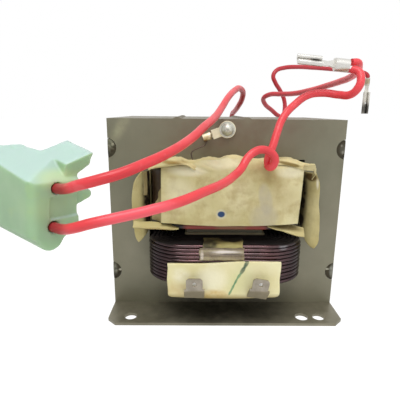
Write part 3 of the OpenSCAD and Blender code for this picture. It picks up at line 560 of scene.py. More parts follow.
# The dark band at the top of the right flare, the dark inner walls of both flares and the brown band on the
# right flap are painted shade; the pale strip along the right flare's outer edge is a painted highlight.
LINER_FINISH = insulation_paper(
    "slot liner paper", "#c7bb88", "#b5a76f", "#8f7544",
    ((33.3, -35.6, 59), (3.8, 4.5, 2.1), 12, 1.6, "#5d4a26"),
    ((35.8, -38.5, 56.4), (0.8, 4, 3.4), -6, 1.2, "#f0ead4"),
    ((30.8, -32.8, 47), (2.9, 5, 18), 0, 1.9, "#2a2115"),
    ((-30.4, -33.8, 50), (5.0, 5.6, 26), 0, 1.9, "#2e2217"),
    ((-31.5, -44, 39.4), (3, 4, 0.9), 0, 1.2, "#6d5330"),
    ((22.5, -44.2, 40.9), (9, 2.3, 1.8), 10, 1.7, "#75663c"),
    ((-27, -45.5, 40.2), (9, 3, 0.8), 0, 0.8))
# A darker copy of the paper, as painted shade, for the torn corner in the shadow behind the panel.
SHADED_FINISH = insulation_paper("shade-darkened inner paper", "#a2946a", "#86774e", "#57472d")
# The dark patch at the back is a painted shadow of the panel above; the scrap is also darker at its left.
SCRAP_FINISH = insulation_paper(
    "soaked and shaded paper scrap", "#b0a76e", "#9c905a", "#6f6038",
    ((-7, -45, 34.5), (4.5, 8, 4), 0, 1.5, "#45402a"), ((1.5, -40.6, 35), (9, 4.2, 4), 0, 1.9, "#28231a"))
TUBE_FINISH = insulation_paper(
    "liner card", "#d6cba6", "#bfb391", "#857860", ((-10, -43, 38), (8, 8, 6), 0, 1.3, "#b08a88"))
CARD_FINISH = pad_card()
TAPE_FINISH = winding_tape()
DARK_WINDING_FINISH = varnished_winding()
TAB_FINISH = dull_tin()
# The yellow-brown mark on the crimp is painted shade.
TERMINAL_FINISH = bright_tin(
    "bright tinned strip", "#d2d0ca", "#b5b1a8", 0.2,
    ((29, -44, 101.6), (3, 8, 1.0), 0.8, "#5f5b53"), ((38.6, -44, 98.4), (3.5, 8, 1.0), 0.6, "#a08d5c"))
DULL_TERMINAL_FINISH = bright_tin(
    "tarnished tinned strip", "#dedad0", "#8f8a80", 0.7,
    ((106.8, 88.8, 86.5), (8, 8, 6), 0.9, "#2f2d28"), ((106.2, 88.8, 105), (8, 8, 3), 0.7, "#8b7440"))
RIVET_FINISH = zinc_rivet()
LUG_FINISH = tinned_lug()
STRAND_FINISH = wire_strand()
BRASS_FINISH = contact_brass()
NYLON_FINISH = green_nylon()
# Patches: painted shadow at the connector's two entries, painted light on the lower filament lead, and
# painted shade on the upper filament lead and on the lower lead's hook.
RUBBER_FINISH = silicone_rubber(
    "red silicone rubber", "#d9373e", "#e84b51", "#f0777b",
    ((-48.5, -86.3, 64.4), (9, 9, 5.5), 0.9, "#96282f"), ((-50, -86.9, 54.2), (10, 10, 5.5), 0.9, "#96282f"),
    ((-26, -91, 59.3), (15, 9, 5), 0.75, "#f4606c", 0.4), ((-31, -91.5, 69), (12, 9, 4.6), 0.5, "#cc3037"),
    ((11, -53, 70), (7, 6, 5), 0.55, "#c93037"))
# The dark red base is partly a stain and partly painted shade of the gap between the coils; the near-black
# patches at both ends are painted shade in the windows.
FILAMENT_FINISH = silicone_rubber(
    "stained and shaded red silicone rubber", "#7a2a24", "#88382d", "#5c3226",
    ((1.2, -45, 41), (7, 6, 5), 0.85, "#7d5338", 0.6), ((-29, -40, 41), (14.5, 20, 12), 1.0, "#1f1713", 0.8),
    ((27.5, -40, 41), (15, 20, 12), 1.0, "#1f1713", 0.8))

# Leads: the routes of the CAD tubes, in millimetres, from the windings to the far ends. Over the panel, the
# lower filament lead and the high-voltage lead start up to 2 mm away from their tubes. Above the core, the
# upper filament lead lies up to 0.7 mm away.
LEAD_DIAMETER = 2.8
LEAD_ROUND_STEPS = 6
LEAD_LENGTH_STEPS = 8
CRIMPED_SHARE = 0.86
FILAMENT_UPPER_ROUTE = [
    (8, 43.5, 68.8), (8.2, 46.5, 73), (8.6, 50, 77.5), (9, 48.5, 82), (9.5, 40, 84), (10.5, 29, 87),
    (11.5, 21.5, 90.5), (11, 14.5, 93.8), (8.5, 7, 95), (5.5, -3.5, 93.8), (1.2, -17.5, 90.1),
    (-2, -28, 86), (-5.2, -41, 82.4), (-10, -57.5, 79), (-14, -68, 76), (-20, -80, 73), (-25.5, -87, 71),
    (-30.5, -91, 69.3), (-36, -92.3, 67.8), (-41.5, -91.4, 66.2), (-45, -88.7, 64.9), (-48.1, -86.3, 64.4),
    (-49.7, -85.1, 64.5)]
FILAMENT_LOWER_ROUTE = [
    (13.2, -48.0, 65.4), (13.9, -49.4, 64.9), (14.5, -50.6, 65.3), (15.1, -51.5, 66.5), (15.2, -52.1, 68),
    (14.3, -52.5, 69.8), (12.4, -52.7, 71.1), (9.8, -53.1, 71.5), (7.3, -53.9, 70.6), (5.2, -55.1, 68.9),
    (3, -57.5, 65.8), (0, -62.5, 64), (-4, -70, 62.9), (-10, -79.5, 62.3), (-16.5, -86, 61), (-24, -90, 59.7),
    (-31, -91.6, 58.4), (-38, -92.6, 57), (-43, -91.6, 55.4), (-46.4, -89.2, 54.3), (-49.5, -86.9, 54.1),
    (-51.1, -85.7, 54.2)]
HIGH_VOLTAGE_ROUTE = [
    (13.4, -47.3, 65.6), (13.4, -48.0, 67.4), (13.8, -48.4, 69.5), (15, -47.8, 72.3), (16.5, -46, 76.5),
    (19, -43.3, 82), (24, -40, 87), (29, -39, 90.3), (34, -40, 91), (38.8, -43, 90.3), (41.3, -46.3, 90.2),
    (43, -48.4, 92.3), (43.9, -48, 95.5), (43.4, -46.2, 98), (41.6, -44.8, 98.8)]
JUMPER_ROUTE = [
    (41.6, -44.1, 101.2), (43.8, -43.4, 101.2), (45.9, -40.2, 100.4), (47.9, -34, 99), (49.4, -24, 97.8),
    (50, -12, 97.2), (49.3, 1, 96.4), (46, 16.5, 95), (41, 33.5, 94), (36, 44.5, 94.2), (31.7, 51.5, 94.2),
    (29, 57, 92.2), (30.8, 62, 89), (37, 69.5, 85), (42.5, 74, 81.5), (45.8, 76.8, 81), (47.4, 78.5, 85.5),
    (46.8, 79, 92), (43.5, 78.2, 98), (39.6, 76.4, 103), (38, 76, 107), (40, 76.8, 110.5),
    (45, 78.5, 112.4), (54, 81.2, 113.4), (66, 85.3, 113.5), (79, 89, 113.2), (92, 90.6, 112.4),
    (100.5, 90.2, 111.6), (104.8, 89.4, 110.4), (106.3, 88.9, 108.6), (106.4, 88.8, 107.5)]


def make_lead(name, node, route):
    """A round lead on a smooth curve through its route's points, squeezed a little at both ends."""
    curve = bpy.data.curves.new(name, "CURVE")
    curve.dimensions = "3D"
    curve.bevel_depth = LEAD_DIAMETER / 2 * MM
    curve.bevel_resolution = LEAD_ROUND_STEPS
    curve.resolution_u = LEAD_LENGTH_STEPS
    curve.use_fill_caps = True
    spline = curve.splines.new("BEZIER")
    spline.bezier_points.add(len(route) - 1)
    spline.bezier_points.foreach_set("co", (np.array(route, float) * MM).ravel())
    for point in spline.bezier_points:
        point.handle_left_type = point.handle_right_type = "AUTO"
    for end in (0, -1):
        spline.bezier_points[end].radius = CRIMPED_SHARE
    curve.materials.append(RUBBER_FINISH)
    lead = add_object(name, curve)
    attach(lead, "root")
    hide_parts(node)


make_lead("upper_filament_lead", "filament_lead_upper", FILAMENT_UPPER_ROUTE)
make_lead("lower_filament_lead", "filament_lead_lower", FILAMENT_LOWER_ROUTE)
make_lead("high_voltage_wire", "high_voltage_lead", HIGH_VOLTAGE_ROUTE)
make_lead("jumper_wire", "jumper_lead", JUMPER_ROUTE)

# Mesh tools


def grid_faces(rows, columns, loop_rows=False, loop_columns=False):
    """Corner numbers of a grid's quads; a looped direction joins its last line to its first."""
    row_steps = np.arange(rows - (not loop_rows))
    column_steps = np.arange(columns - (not loop_columns))
    i, j = np.meshgrid(row_steps, column_steps, indexing="ij")
    i_next = (i + 1) % rows
    j_next = (j + 1) % columns
    corners = [i * columns + j, i_next * columns + j, i_next * columns + j_next, i * columns + j_next]
    return np.stack(corners, -1).reshape(-1, 4)


def cap_faces(count):
    """Quads of a fan that closes a ring with an even count of corners."""
    return np.array([[0, k, k + 1, k + 2] for k in range(1, count - 2, 2)])


def make_piece(name, grids, finish, slot, *nodes):
    """One smooth mesh from several (points, faces) grids. It rides on the part and stands for its CAD
    nodes."""
    starts = np.cumsum([0] + [points.reshape(-1, 3).shape[0] for points, _ in grids])
    points = np.concatenate([points.reshape(-1, 3) for points, _ in grids]) * MM
    faces = np.concatenate([faces + start for (_, faces), start in zip(grids, starts)])
    mesh = bpy.data.meshes.new(name)
    mesh.from_pydata(points.tolist(), [], faces.tolist())
    mesh.polygons.foreach_set("use_smooth", np.ones(len(faces), bool))
    mesh.materials.append(finish)
    mesh.update()
    piece = add_object(name, mesh)
    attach(piece, "root")
    if nodes:
        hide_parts(*nodes)
    return piece


def make_sheet(name, surfaces, thickness, finish, slot, *nodes):
    """Sheets given as grids of points on their middle faces, with a wall of that thickness."""
    grids = [(points, grid_faces(*points.shape[:2])) for points in surfaces]
    piece = make_piece(name, grids, finish, slot, *nodes)
    wall = piece.modifiers.new("thickness", "SOLIDIFY")
    wall.thickness = thickness * MM
    wall.offset = 0


def xyz(x, y, z):
    """Points from arrays of their three coordinates."""
    return np.stack([x, y, z], -1)


def unit_grid(rows, columns):
    """Two arrays that run from 0 to 1 down the rows and along the columns."""
    return np.meshgrid(np.linspace(0, 1, rows), np.linspace(0, 1, columns), indexing="ij")


def smooth_line(value, knots):
    """Height at each value on a smooth cubic through (place, height) knots: at a knot its slope is that of
    the knots beside it."""
    places, heights = np.array(knots, float).T
    slopes = np.gradient(heights, places)
    k = np.clip(np.searchsorted(places, value) - 1, 0, len(places) - 2)
    gap = places[k + 1] - places[k]
    t = np.clip((value - places[k]) / gap, 0, 1)
    return ((1 + 2 * t) * (1 - t) ** 2 * heights[k] + t * (1 - t) ** 2 * gap * slopes[k]
            + t ** 2 * (3 - 2 * t) * heights[k + 1] + t ** 2 * (t - 1) * gap * slopes[k + 1])


CRUMPLE_WAVES = 7


def crumple(a, b, size, seed):
    """Smooth random relief of about -1 to 1: plane sine waves near one wavelength, in random directions."""
    draw = np.random.default_rng(seed)
    angle = draw.uniform(0, 2 * np.pi, CRUMPLE_WAVES)
    phase = draw.uniform(0, 2 * np.pi, CRUMPLE_WAVES)
    pitch = size * draw.uniform(0.7, 1.6, CRUMPLE_WAVES)
    along = a[..., None] * np.cos(angle) + b[..., None] * np.sin(angle)
    return np.sin(2 * np.pi * along / pitch + phase).sum(-1) / math.sqrt(CRUMPLE_WAVES)


def hill(place, middle, reach):
    """Bell-shaped bump: 1 at its middle, 1/e at its reach."""
    return np.exp(-((place - middle) / reach) ** 2)


def turned(points):
    """The same points, turned half a turn about Z, from the front of the part to its back."""
    return points * np.array([-1, -1, 1])


# Side welds
WELD_BULGE = 0.1
WELD_AXIS_OUT = 0.6
WELD_PAST_STACK = 0.02
WELD_BACK = np.radians(np.linspace(100, 260, 20))
WELD_ROWS = 60
WELD_COLUMNS = 34
WELD_RINGS = 8
WELD_HEART = 0.05
WELD_SEED = 301


def weld_bead(side, height, seed):
    """A bead that fills a groove: a round back, an uneven front flush with the core's side, and at each end
    of the stack a rough face of rings that shrink towards its heart. The axis of the round back lies a little
    outside the core's side."""
    y = np.linspace(CORE_LOW[1] - WELD_PAST_STACK, CORE_HIGH[1] + WELD_PAST_STACK, WELD_ROWS)
    s = np.linspace(0, np.pi, WELD_COLUMNS - len(WELD_BACK) + 2)[1:-1]
    back_x = CORE_HIGH[0] + WELD_AXIS_OUT + WELD_RADIUS * np.cos(WELD_BACK)
    ripple = WELD_BULGE * (1 + 0.6 * crumple(y, 0 * y, 4, seed))
    x = np.concatenate([np.tile(back_x, (WELD_ROWS, 1)), back_x[0] + ripple[:, None] * np.sin(s)], 1)
    outline_z = WELD_RADIUS * np.concatenate([np.sin(WELD_BACK), -np.cos(s)])
    z = height + np.tile(outline_z, (WELD_ROWS, 1))
    body = xyz(side * x, np.repeat(y[:, None], WELD_COLUMNS, 1), z)
    grids = [(body, grid_faces(WELD_ROWS, WELD_COLUMNS, False, True))]
    reach = np.linspace(1, WELD_HEART, WELD_RINGS)[:, None, None]
    rings = grid_faces(WELD_RINGS, WELD_COLUMNS, False, True)
    middle = (WELD_RINGS - 1) * WELD_COLUMNS + cap_faces(WELD_COLUMNS)[:, ::-1]
    for row, outward in ((0, -1), (-1, 1)):
        heart = body[row].mean(0)
        face = heart + (body[row] - heart) * reach
        rough = 0.1 + 0.2 * crumple(face[..., 0], face[..., 2], 2.2, seed + 1)
        face[..., 1] += outward * (1 - reach[..., 0] ** 2) * rough
        grids.append((face, np.concatenate([rings, middle])[:, ::outward]))
    return [(points, faces[:, ::side]) for points, faces in grids]


def side_welds():
    """The four beads."""
    beads = [weld_bead(side, z, WELD_SEED + 10 * i + side)
             for side in (-1, 1) for i, z in enumerate(WELD_HEIGHTS)]
    make_piece("weld_beads", sum(beads, []), WELD_FINISH, "weld_metal", "side_welds")


side_welds()

# Primary winding
LIMB_GAP = 17.1
LIMB_CORNER = 2.0
COIL_BUILD = PRIMARY_HIGH[0] - LIMB_GAP
LIMB_GAP_Y = PRIMARY_HIGH[1] - COIL_BUILD
CORNER_STEPS = 12
STRAIGHT_STEPS = 18
WIRE_SIDES = 12
TURN_WOBBLE = 0.09
WOBBLE_WAVES = 5
HEART_GAP = 0.05
OUTER_SEED = 100
LAYER_SEED = 200
SWELL = 1.8
SWELL_FROM = 0.5
SWELL_REACH = 3


def round_limb(out):
    """Loop round the centre limb at a distance out from the coil's inner face: four straights with round
    corners. Gives the points and the outward directions, in plan."""
    corner = LIMB_CORNER + out
    straight_x = LIMB_GAP - LIMB_CORNER
    straight_y = LIMB_GAP_Y - LIMB_CORNER
    points, outward = [], []
    for quarter in range(4):
        sign_x = 1 if quarter in (0, 3) else -1
        sign_y = 1 if quarter in (0, 1) else -1
        angle = np.pi / 2 * (quarter + np.linspace(0, 1, CORNER_STEPS))
        normal = np.stack([np.cos(angle), np.sin(angle)], -1)
        arc = np.array([sign_x * straight_x, sign_y * straight_y]) + corner * normal
        run = 2 * (straight_x if quarter % 2 == 0 else straight_y)
        step = np.linspace(0, run, STRAIGHT_STEPS)[1:-1, None]
        heading = np.array([-math.sin(angle[-1]), math.cos(angle[-1])])
        points += [arc, arc[-1] + step * heading]
        outward += [normal, np.repeat(normal[-1:], len(step), 0)]
    return np.concatenate(points), np.concatenate(outward)


def swollen(points):
    """Points moved out along X, in proportion to X, where the coil stands clear of the core: nothing at the
    core's faces, all of the swelling SWELL_REACH further out, less towards the top of the coil."""
    x, y, z = np.moveaxis(points, -1, 0)
    clear = np.clip((np.abs(y) - CORE_HIGH[1] - SWELL_FROM) / SWELL_REACH, 0, 1)
    below = np.clip((PRIMARY_HIGH[2] + 1 - z) / SWELL_REACH, 0, 1)
    grown = x * (1 + SWELL / PRIMARY_HIGH[0] * clear ** 2 * (3 - 2 * clear) * below)
    return xyz(grown, y, z)


def wire_turn(out, z, seed):
    """One closed turn of round wire: a circle carried round the limb, wandering a little in and out and up
    and down on slow sine waves."""
    loop, outward = round_limb(out)
    draw = np.random.default_rng(seed)
    t = np.linspace(0, 2 * np.pi, len(loop), endpoint=False)[:, None]
    order = np.arange(1, WOBBLE_WAVES + 1)
    wander = []
    for _ in range(2):
        phase = draw.uniform(0, 2 * np.pi, WOBBLE_WAVES)
        wander.append(np.sin(order * t + phase) @ draw.uniform(-1, 1, WOBBLE_WAVES) / 2 * TURN_WOBBLE)
    centre = np.concatenate([loop + outward * wander[0][:, None], z + wander[1][:, None]], 1)
    around = np.linspace(0, 2 * np.pi, WIRE_SIDES, endpoint=False)
    out_3d = np.concatenate([outward, np.zeros((len(loop), 1))], 1)
    ring = (np.cos(around)[None, :, None] * out_3d[:, None, :]
            + np.sin(around)[None, :, None] * np.array([0, 0, 1.0]))
    points = swollen(centre[:, None, :] + WIRE / 2 * ring)
    return points, grid_faces(len(loop), WIRE_SIDES, True, True)


def limb_ring(section):
    """Solid ring round the limb: each (out, z) point of a section carried round the limb at its own
    distance."""
    rows = []
    for out, z in section:
        loop, _ = round_limb(out)
        rows.append(np.concatenate([loop, np.full((len(loop), 1), float(z))], 1))
    points = swollen(np.stack(rows))
    return points, grid_faces(len(section), points.shape[1], True, True)[:, ::-1]


def primary_turns():
    """The open winding: a solid heart, every turn of the outer layer, and the lowest and highest turn of each
    layer inside it."""
    edge = WIRE / 2
    low, high = PRIMARY_LOW[2], PRIMARY_HIGH[2]
    turns = round((high - low) / WIRE)
    layers = int(COIL_BUILD / WIRE)
    ends = (low + edge, high - edge)
    outer = COIL_BUILD - edge
    grids = [limb_ring([(HEART_GAP, ends[0]), (outer, ends[0]), (outer, ends[1]), (HEART_GAP, ends[1])])]
    for i in range(turns):
        grids.append(wire_turn(outer - TURN_WOBBLE, low + (i + 0.5) * WIRE, OUTER_SEED + i))
    for j in range(layers - 1):
        out = edge + j * (COIL_BUILD - WIRE) / (layers - 1)
        for k, z in enumerate(ends):
            grids.append(wire_turn(out, z, LAYER_SEED + 20 * k + j))
    make_piece("primary_turns", grids, WIRE_FINISH, "enamelled_wire", "primary_winding")


primary_turns()

# Tape, paper scrap and card on the primary
TAPE_THICKNESS = 0.12
TAPE_PAST_LEFT = 0.2
TAPE_PAST_RIGHT = 0.5
TAPE_PAST_LOW = 0.4
TAPE_PAST_HIGH = 0.1
TAPE_AHEAD = 0.1
TAPE_DIP = 0.18
TAPE_LIFT = 0.5
LIFTED_SHARE = 0.08


def tape_strip():
    """Clear tape pressed on the top rows: a sheet that dips between the wires on a sine, wrinkles, and lifts
    at its left end."""
    u, v = unit_grid(120, 60)
    width = TAPE_HIGH[0] - TAPE_LOW[0] + TAPE_PAST_LEFT + TAPE_PAST_RIGHT
    height = TAPE_HIGH[2] - TAPE_LOW[2] + TAPE_PAST_LOW + TAPE_PAST_HIGH
    x = TAPE_LOW[0] - TAPE_PAST_LEFT + width * u + 0.15 * np.sin(7 * v)
    z = TAPE_LOW[2] - TAPE_PAST_LOW + height * v + crumple(x, v, 6, 31) * 0.12
    rows = TAPE_DIP * np.abs(np.sin(np.pi * (z - PRIMARY_LOW[2]) / WIRE))
    lift = TAPE_LIFT * np.clip(1 - u / LIFTED_SHARE, 0, 1) ** 2
    y = TAPE_LOW[1] - TAPE_AHEAD - rows - lift - crumple(x, z, 5, 32) * 0.1
    make_sheet("tape_over_turns", [xyz(x, y, z)], TAPE_THICKNESS, TAPE_FINISH, "clear_tape", "primary_tape")


tape_strip()

SCRAP_THICKNESS = 0.25
SCRAP_LEFT = -9.2
SCRAP_WIDTH = 15.3
SCRAP_LENGTH = 8.5
SCRAP_BACK = -39.0
SCRAP_FLAT = 6.5
SCRAP_BEND = 1.2
SCRAP_ABOVE = 0.5


def paper_scrap():
    """A scrap of paper that lies flat on the top of the coil and bends down over the front row on an arc."""
    u, v = unit_grid(30, 30)
    x = SCRAP_LEFT + SCRAP_WIDTH * u + 0.3 * np.sin(5 * v)
    reach = SCRAP_LENGTH * v
    over = np.clip((reach - SCRAP_FLAT) / SCRAP_BEND, 0, np.pi / 2)
    y = SCRAP_BACK - np.minimum(reach, SCRAP_FLAT) - SCRAP_BEND * np.sin(over)
    z = PRIMARY_HIGH[2] + SCRAP_ABOVE - SCRAP_BEND * (1 - np.cos(over)) + crumple(x, reach, 5, 41) * 0.12
    make_sheet("winding_scrap", [xyz(x, y, z)], SCRAP_THICKNESS, SCRAP_FINISH, "insulation_paper")


paper_scrap()

PAD_THICKNESS = 1.1
PAD_CORNER = 1.6
PAD_BACK = 0.1
PAD_BOW = 0.25
PAD_LOW_RISE = 0.25
PAD_SAG = 0.5
PAD_TOP = [(0, -1.45), (0.3, -1.35), (0.7, -0.4), (1, -0.65)]


def pad():
    """The pad in front of the primary: a flat card with a slow bow, round lower corners and wavy edges."""
    u, v = unit_grid(70, 36)
    across = 2 * u - 1
    half = (PAD_HIGH[0] - PAD_LOW[0]) / 2
    middle = (PAD_HIGH + PAD_LOW) / 2
    from_low = np.clip(PAD_CORNER - v * (PAD_HIGH[2] - PAD_LOW[2]), 0, PAD_CORNER)
    inset = PAD_CORNER - np.sqrt(PAD_CORNER ** 2 - from_low ** 2)
    x = middle[0] + across * (half - inset) + 0.15 * np.sin(9 * v) * np.abs(across)
    top_line = PAD_HIGH[2] + smooth_line(u, PAD_TOP)
    low_line = PAD_LOW[2] + PAD_LOW_RISE - PAD_SAG * np.sin(np.pi * u)
    z = low_line + (top_line - low_line) * v
    y = middle[1] + PAD_BACK + PAD_BOW * across ** 2 + crumple(x, z, 16, 51) * 0.06
    make_sheet("primary_card", [xyz(x, y, z)], PAD_THICKNESS, CARD_FINISH, "insulation_card", "primary_pad")


pad()

# Papers of the secondary
PANEL_THICKNESS = 0.6
PANEL_SET_BACK = 0.42
PANEL_RISE = 0.1
BOW_RADIUS = 170
BEND_FROM = 63.2
BEND_HEIGHT = 4.6
DEEPEST_DENT = 0.35
RIM_CURL = 0.12
RIM_SHARE = 0.03
PINCH_DEPTH = 0.3
PINCH_PITCH = 1.7
# The arch over the middle of the front: place in X and height of the top paper
ARCH = [(-12.7, 66.2), (-10, 66.9), (-7.6, 67.0), (-5.1, 67.0), (-3, 67.3), (-1.6, 67.9), (0.4, 68.15),
        (3.9, 67.8), (7, 67.2)]
UNDER_ARCH = 0.3


def bowed_panel(seed, shift, left, right, top_knots, sag, bend):
    """Paper on the face of the secondary: its depth follows a parabola across, with a slow crumple, its sides
    are straight lines, its top runs through knots and its lower edge sags. Above BEND_FROM it bends back on a
    parabola, with pinched folds where it meets the curled leaf of the top paper."""
    u, v = unit_grid(110, 60)
    x = left[0] + (left[1] - left[0]) * v
    x = x + (right[0] + (right[1] - right[0]) * v - x) * u
    low = PANEL_LOW[2] + PANEL_RISE - sag * np.sin(np.pi * u)
    high = smooth_line(x, top_knots)
    z = low + (high - low) * v
    face = PANEL_LOW[1] + PANEL_SET_BACK + (x - shift) ** 2 / (2 * BOW_RADIUS)
    dents = 0.16 * crumple(x, z, 17, seed) + 0.07 * crumple(x, z, 7, seed + 1)
    rim = np.minimum(np.minimum(u, 1 - u), np.minimum(v, 1 - v))
    curl = RIM_CURL * np.clip(1 - rim / RIM_SHARE, 0, 1) ** 2
    back = bend * np.clip((z - BEND_FROM) / BEND_HEIGHT, 0, 1) ** 2
    near_leaf = hill(x, -9.5, 4.5) * hill(z, 64.6, 1.9) * (bend > 0)
    pinch = PINCH_DEPTH * near_leaf * np.sin(2 * np.pi * (0.3 * x + 0.95 * z) / PINCH_PITCH)
    return xyz(x, face - np.maximum(dents, -DEEPEST_DENT) - pinch + back - curl, z)


def panels():
    """Front panel with its slanted right edge, and the plainer rear panel."""
    top = [(-26, 63.6), (-21, 65.0), (-17.5, 65.7), (-15, 65.6), *((x, z - UNDER_ARCH) for x, z in ARCH),
           (13, 66.4), (18, 65.8), (22, 65.4), (25.5, 64.6), (28, 63.6)]
    front = bowed_panel(61, 1, (-25.5, -25.2), (26.6, 27.6), top, 0.5, 4.0)
    make_sheet("front_wrap", [front], PANEL_THICKNESS, PANEL_FINISH, "insulation_paper", "front_panel_paper")
    rear_top = [(-26, 63.6), (0, 64.2), (26, 63.5)]
    rear = turned(bowed_panel(71, 0, (-26, -26), (26, 26), rear_top, 0.6, 0))
    make_sheet("rear_wrap", [rear], PANEL_THICKNESS, PANEL_FINISH, "insulation_paper", "rear_panel_paper")


panels()

TOP_BACK_GAP = 0.35
CREST_Y = -43.0
FLAT_SHARE = 0.45
BACK_FALL = 2.0
FRONT_TOP_THICKNESS = 0.25
REAR_TOP_THICKNESS = 0.4


def top_wrap(crest_knots, edge_knots, front_knots, curl_knots, seed, ends):
    """Paper that lies on the top of the secondary from the core to the front and bends down over it. Across,
    its crest runs through knots. From the crest it follows an ellipse down to its free edge; where the curl
    is over a quarter turn, the edge is rolled under."""
    u, v = unit_grid(150, 60)
    x = ends[0] + (ends[1] - ends[0]) * u
    back_y = CORE_LOW[1] - TOP_BACK_GAP
    crest = smooth_line(x, crest_knots)
    edge = smooth_line(x, edge_knots)
    front = smooth_line(x, front_knots)
    end_angle = np.radians(smooth_line(x, curl_knots))
    along = np.clip(v / FLAT_SHARE, 0, 1)
    angle = end_angle * np.clip((v - FLAT_SHARE) / (1 - FLAT_SHARE), 0, 1)
    drop = (crest - edge) / (1 - np.cos(end_angle))
    y = back_y + (CREST_Y - back_y) * along + (front - CREST_Y) * np.sin(angle)
    z = crest - BACK_FALL * (1 - along) ** 2 - drop * (1 - np.cos(angle))
    folds = 0.22 * crumple(x, y + z, 9, seed) + 0.1 * crumple(1.5 * x, z - y, 4, seed + 1)
    steep = np.minimum(angle, np.pi / 2)
    z = z + folds * np.cos(steep)
    pinch = 0.35 * hill(x, -12.5, 3.2) * np.sin(2 * np.pi * (0.5 * x + 0.87 * z) / 1.9)
    y = y - (np.abs(folds) * (1 - 0.7 * v) + np.abs(pinch)) * np.sin(steep)
    return xyz(x, y, z)


def top_papers():
    """Front wrap: a curled leaf at the left, a smooth fall over the panel in the middle and a thin lip at
    the right. Rear wrap: plain, bent down over the rear panel."""
    crest = [(-30, 63.7), (-26.2, 65.2), (-21.8, 67.3), (-18.2, 67.0), (-15.4, 65.9), *ARCH, (12, 66.9),
             (18, 67.3), (20.7, 67.4), (23.3, 67.1), (25.9, 66.4), (31, 64.9)]
    edge = [(-30, 63.0), (-27.3, 63.7), (-23.6, 64.3), (-21, 64.8), (-18, 65.3), (-15.6, 65.2), (-13, 63.4),
            (-10, 62.5), (-6, 61.6), (-2, 61.3), (4, 61.8), (9, 63.2), (13, 65.2), (17.8, 65.4), (20.4, 65.3),
            (22.2, 64.9), (24.8, 64.2), (27.5, 63.4), (31, 63)]
    front = [(-30, -45.0), (-21, -48.3), (-16, -48.1), (-13.5, -47.2), (-11, -45.6), (0, -45.4), (7, -45.6),
             (12, -46.2), (22, -46.2), (31, -45)]
    curl = [(-30, 125), (-24, 140), (-18, 135), (-14, 100), (-11, 92), (31, 90)]
    sheet = top_wrap(crest, edge, front, curl, 81, (-30, 31))
    make_sheet("front_top_wrap", [sheet], FRONT_TOP_THICKNESS, WRAP_FINISH, "insulation_paper",
               "front_top_paper")
    rear_crest = [(-31, 64.6), (-12, 67.4), (2, 68.0), (14, 67.2), (31, 64.6)]
    rear_edge = [(-31, 63.2), (-12, 62.4), (12, 62.2), (31, 63.2)]
    rear_front = [(-31, -45.4), (0, -48.4), (31, -45.4)]
    rear = turned(top_wrap(rear_crest, rear_edge, rear_front, [(-31, 90), (31, 90)], 91, (-31, 31)))
    make_sheet("rear_top_wrap", [rear], REAR_TOP_THICKNESS, WRAP_FINISH, "insulation_paper", "rear_top_paper")


top_papers()

# Slot liners
LINER_THICKNESS = 0.5
LINER_X = LINER_LOW[0] + 0.25
LINER_FRONT = CORE_LOW[1] - 0.6
FLARE_RADIUS = 6.0
FLARE_TURN = math.radians(75)
WALL_LOW = 38
WALL_HIGH = 61.5


def flare(width_knots, low_knots, high, seed):
    """Paper that leaves the window on the right: forwards and round an arc to the side, then straight. The
    distance along the paper runs to a width that depends on the height, so the free edge is a petal. A
    crumple grows towards that edge."""
    u, v = unit_grid(44, 70)
    along = u * smooth_line(v, width_knots)
    low = smooth_line(along, low_knots)
    z = low + (high - low) * v
    angle = np.minimum(along / FLARE_RADIUS, FLARE_TURN)
    tip = np.maximum(along - FLARE_RADIUS * FLARE_TURN, 0)
    x = LINER_X + FLARE_RADIUS * (1 - np.cos(angle)) + tip * math.sin(FLARE_TURN)
    y = LINER_FRONT - FLARE_RADIUS * np.sin(angle) - tip * math.cos(FLARE_TURN)
    wave = crumple(along, z, 15, seed) * 0.35 * u + crumple(along, z, 5, seed + 1) * 0.08 * u
    return xyz(x, y - wave, z)


def liner_wall():
    """The straight wall of a slot liner, along the outer limb from the front of the core to its back."""
    u, v = unit_grid(12, 12)
    return xyz(np.full_like(u, LINER_X), LINER_FRONT * (1 - 2 * u), WALL_LOW + (WALL_HIGH - WALL_LOW) * v)


def slot_liners():
    """Left and right liners: a wall in the window with a petal-shaped flare at each end."""
    to_left = np.array([-1, 1, 1])
    to_rear = np.array([1, -1, 1])
    left_width = [(0, 7.5), (0.05, 8.3), (0.22, 9.2), (0.5, 9.7), (0.75, 9.3), (0.9, 8.1), (1, 5.8)]
    left_low = [(0, 38), (4.4, 34.2), (7.7, 31.5), (10.5, 31.2)]
    right_width = [(0, 8.4), (0.06, 9.6), (0.2, 10.0), (0.6, 9.0), (0.9, 8.2), (1, 6.9)]
    right_low = [(0, 40), (3.1, 34.9), (6, 30.8), (8.3, 29.4), (10, 29.6)]
    rear_width = [(0, 8), (0.2, 10.5), (0.8, 10.5), (1, 8)]
    rear_low = [(0, 34), (6, 30.5), (10.5, 30)]
    wall = liner_wall()
    left = [flare(left_width, left_low, 60.6, 111) * to_left, wall * to_left,
            turned(flare(rear_width, rear_low, 61, 113))]
    make_sheet("left_liner", left, LINER_THICKNESS, LINER_FINISH, "insulation_paper", "slot_liner_left")
    right = [flare(right_width, right_low, 60.8, 121), wall, flare(rear_width, rear_low, 61, 123) * to_rear]
    make_sheet("right_liner", right, LINER_THICKNESS, LINER_FINISH, "insulation_paper", "slot_liner_right")


slot_liners()

# Loose flaps, strand and corners
FLAP_THICKNESS = 0.5
FLAP_FRONT = -45.9
LIP_FROM = 0.75


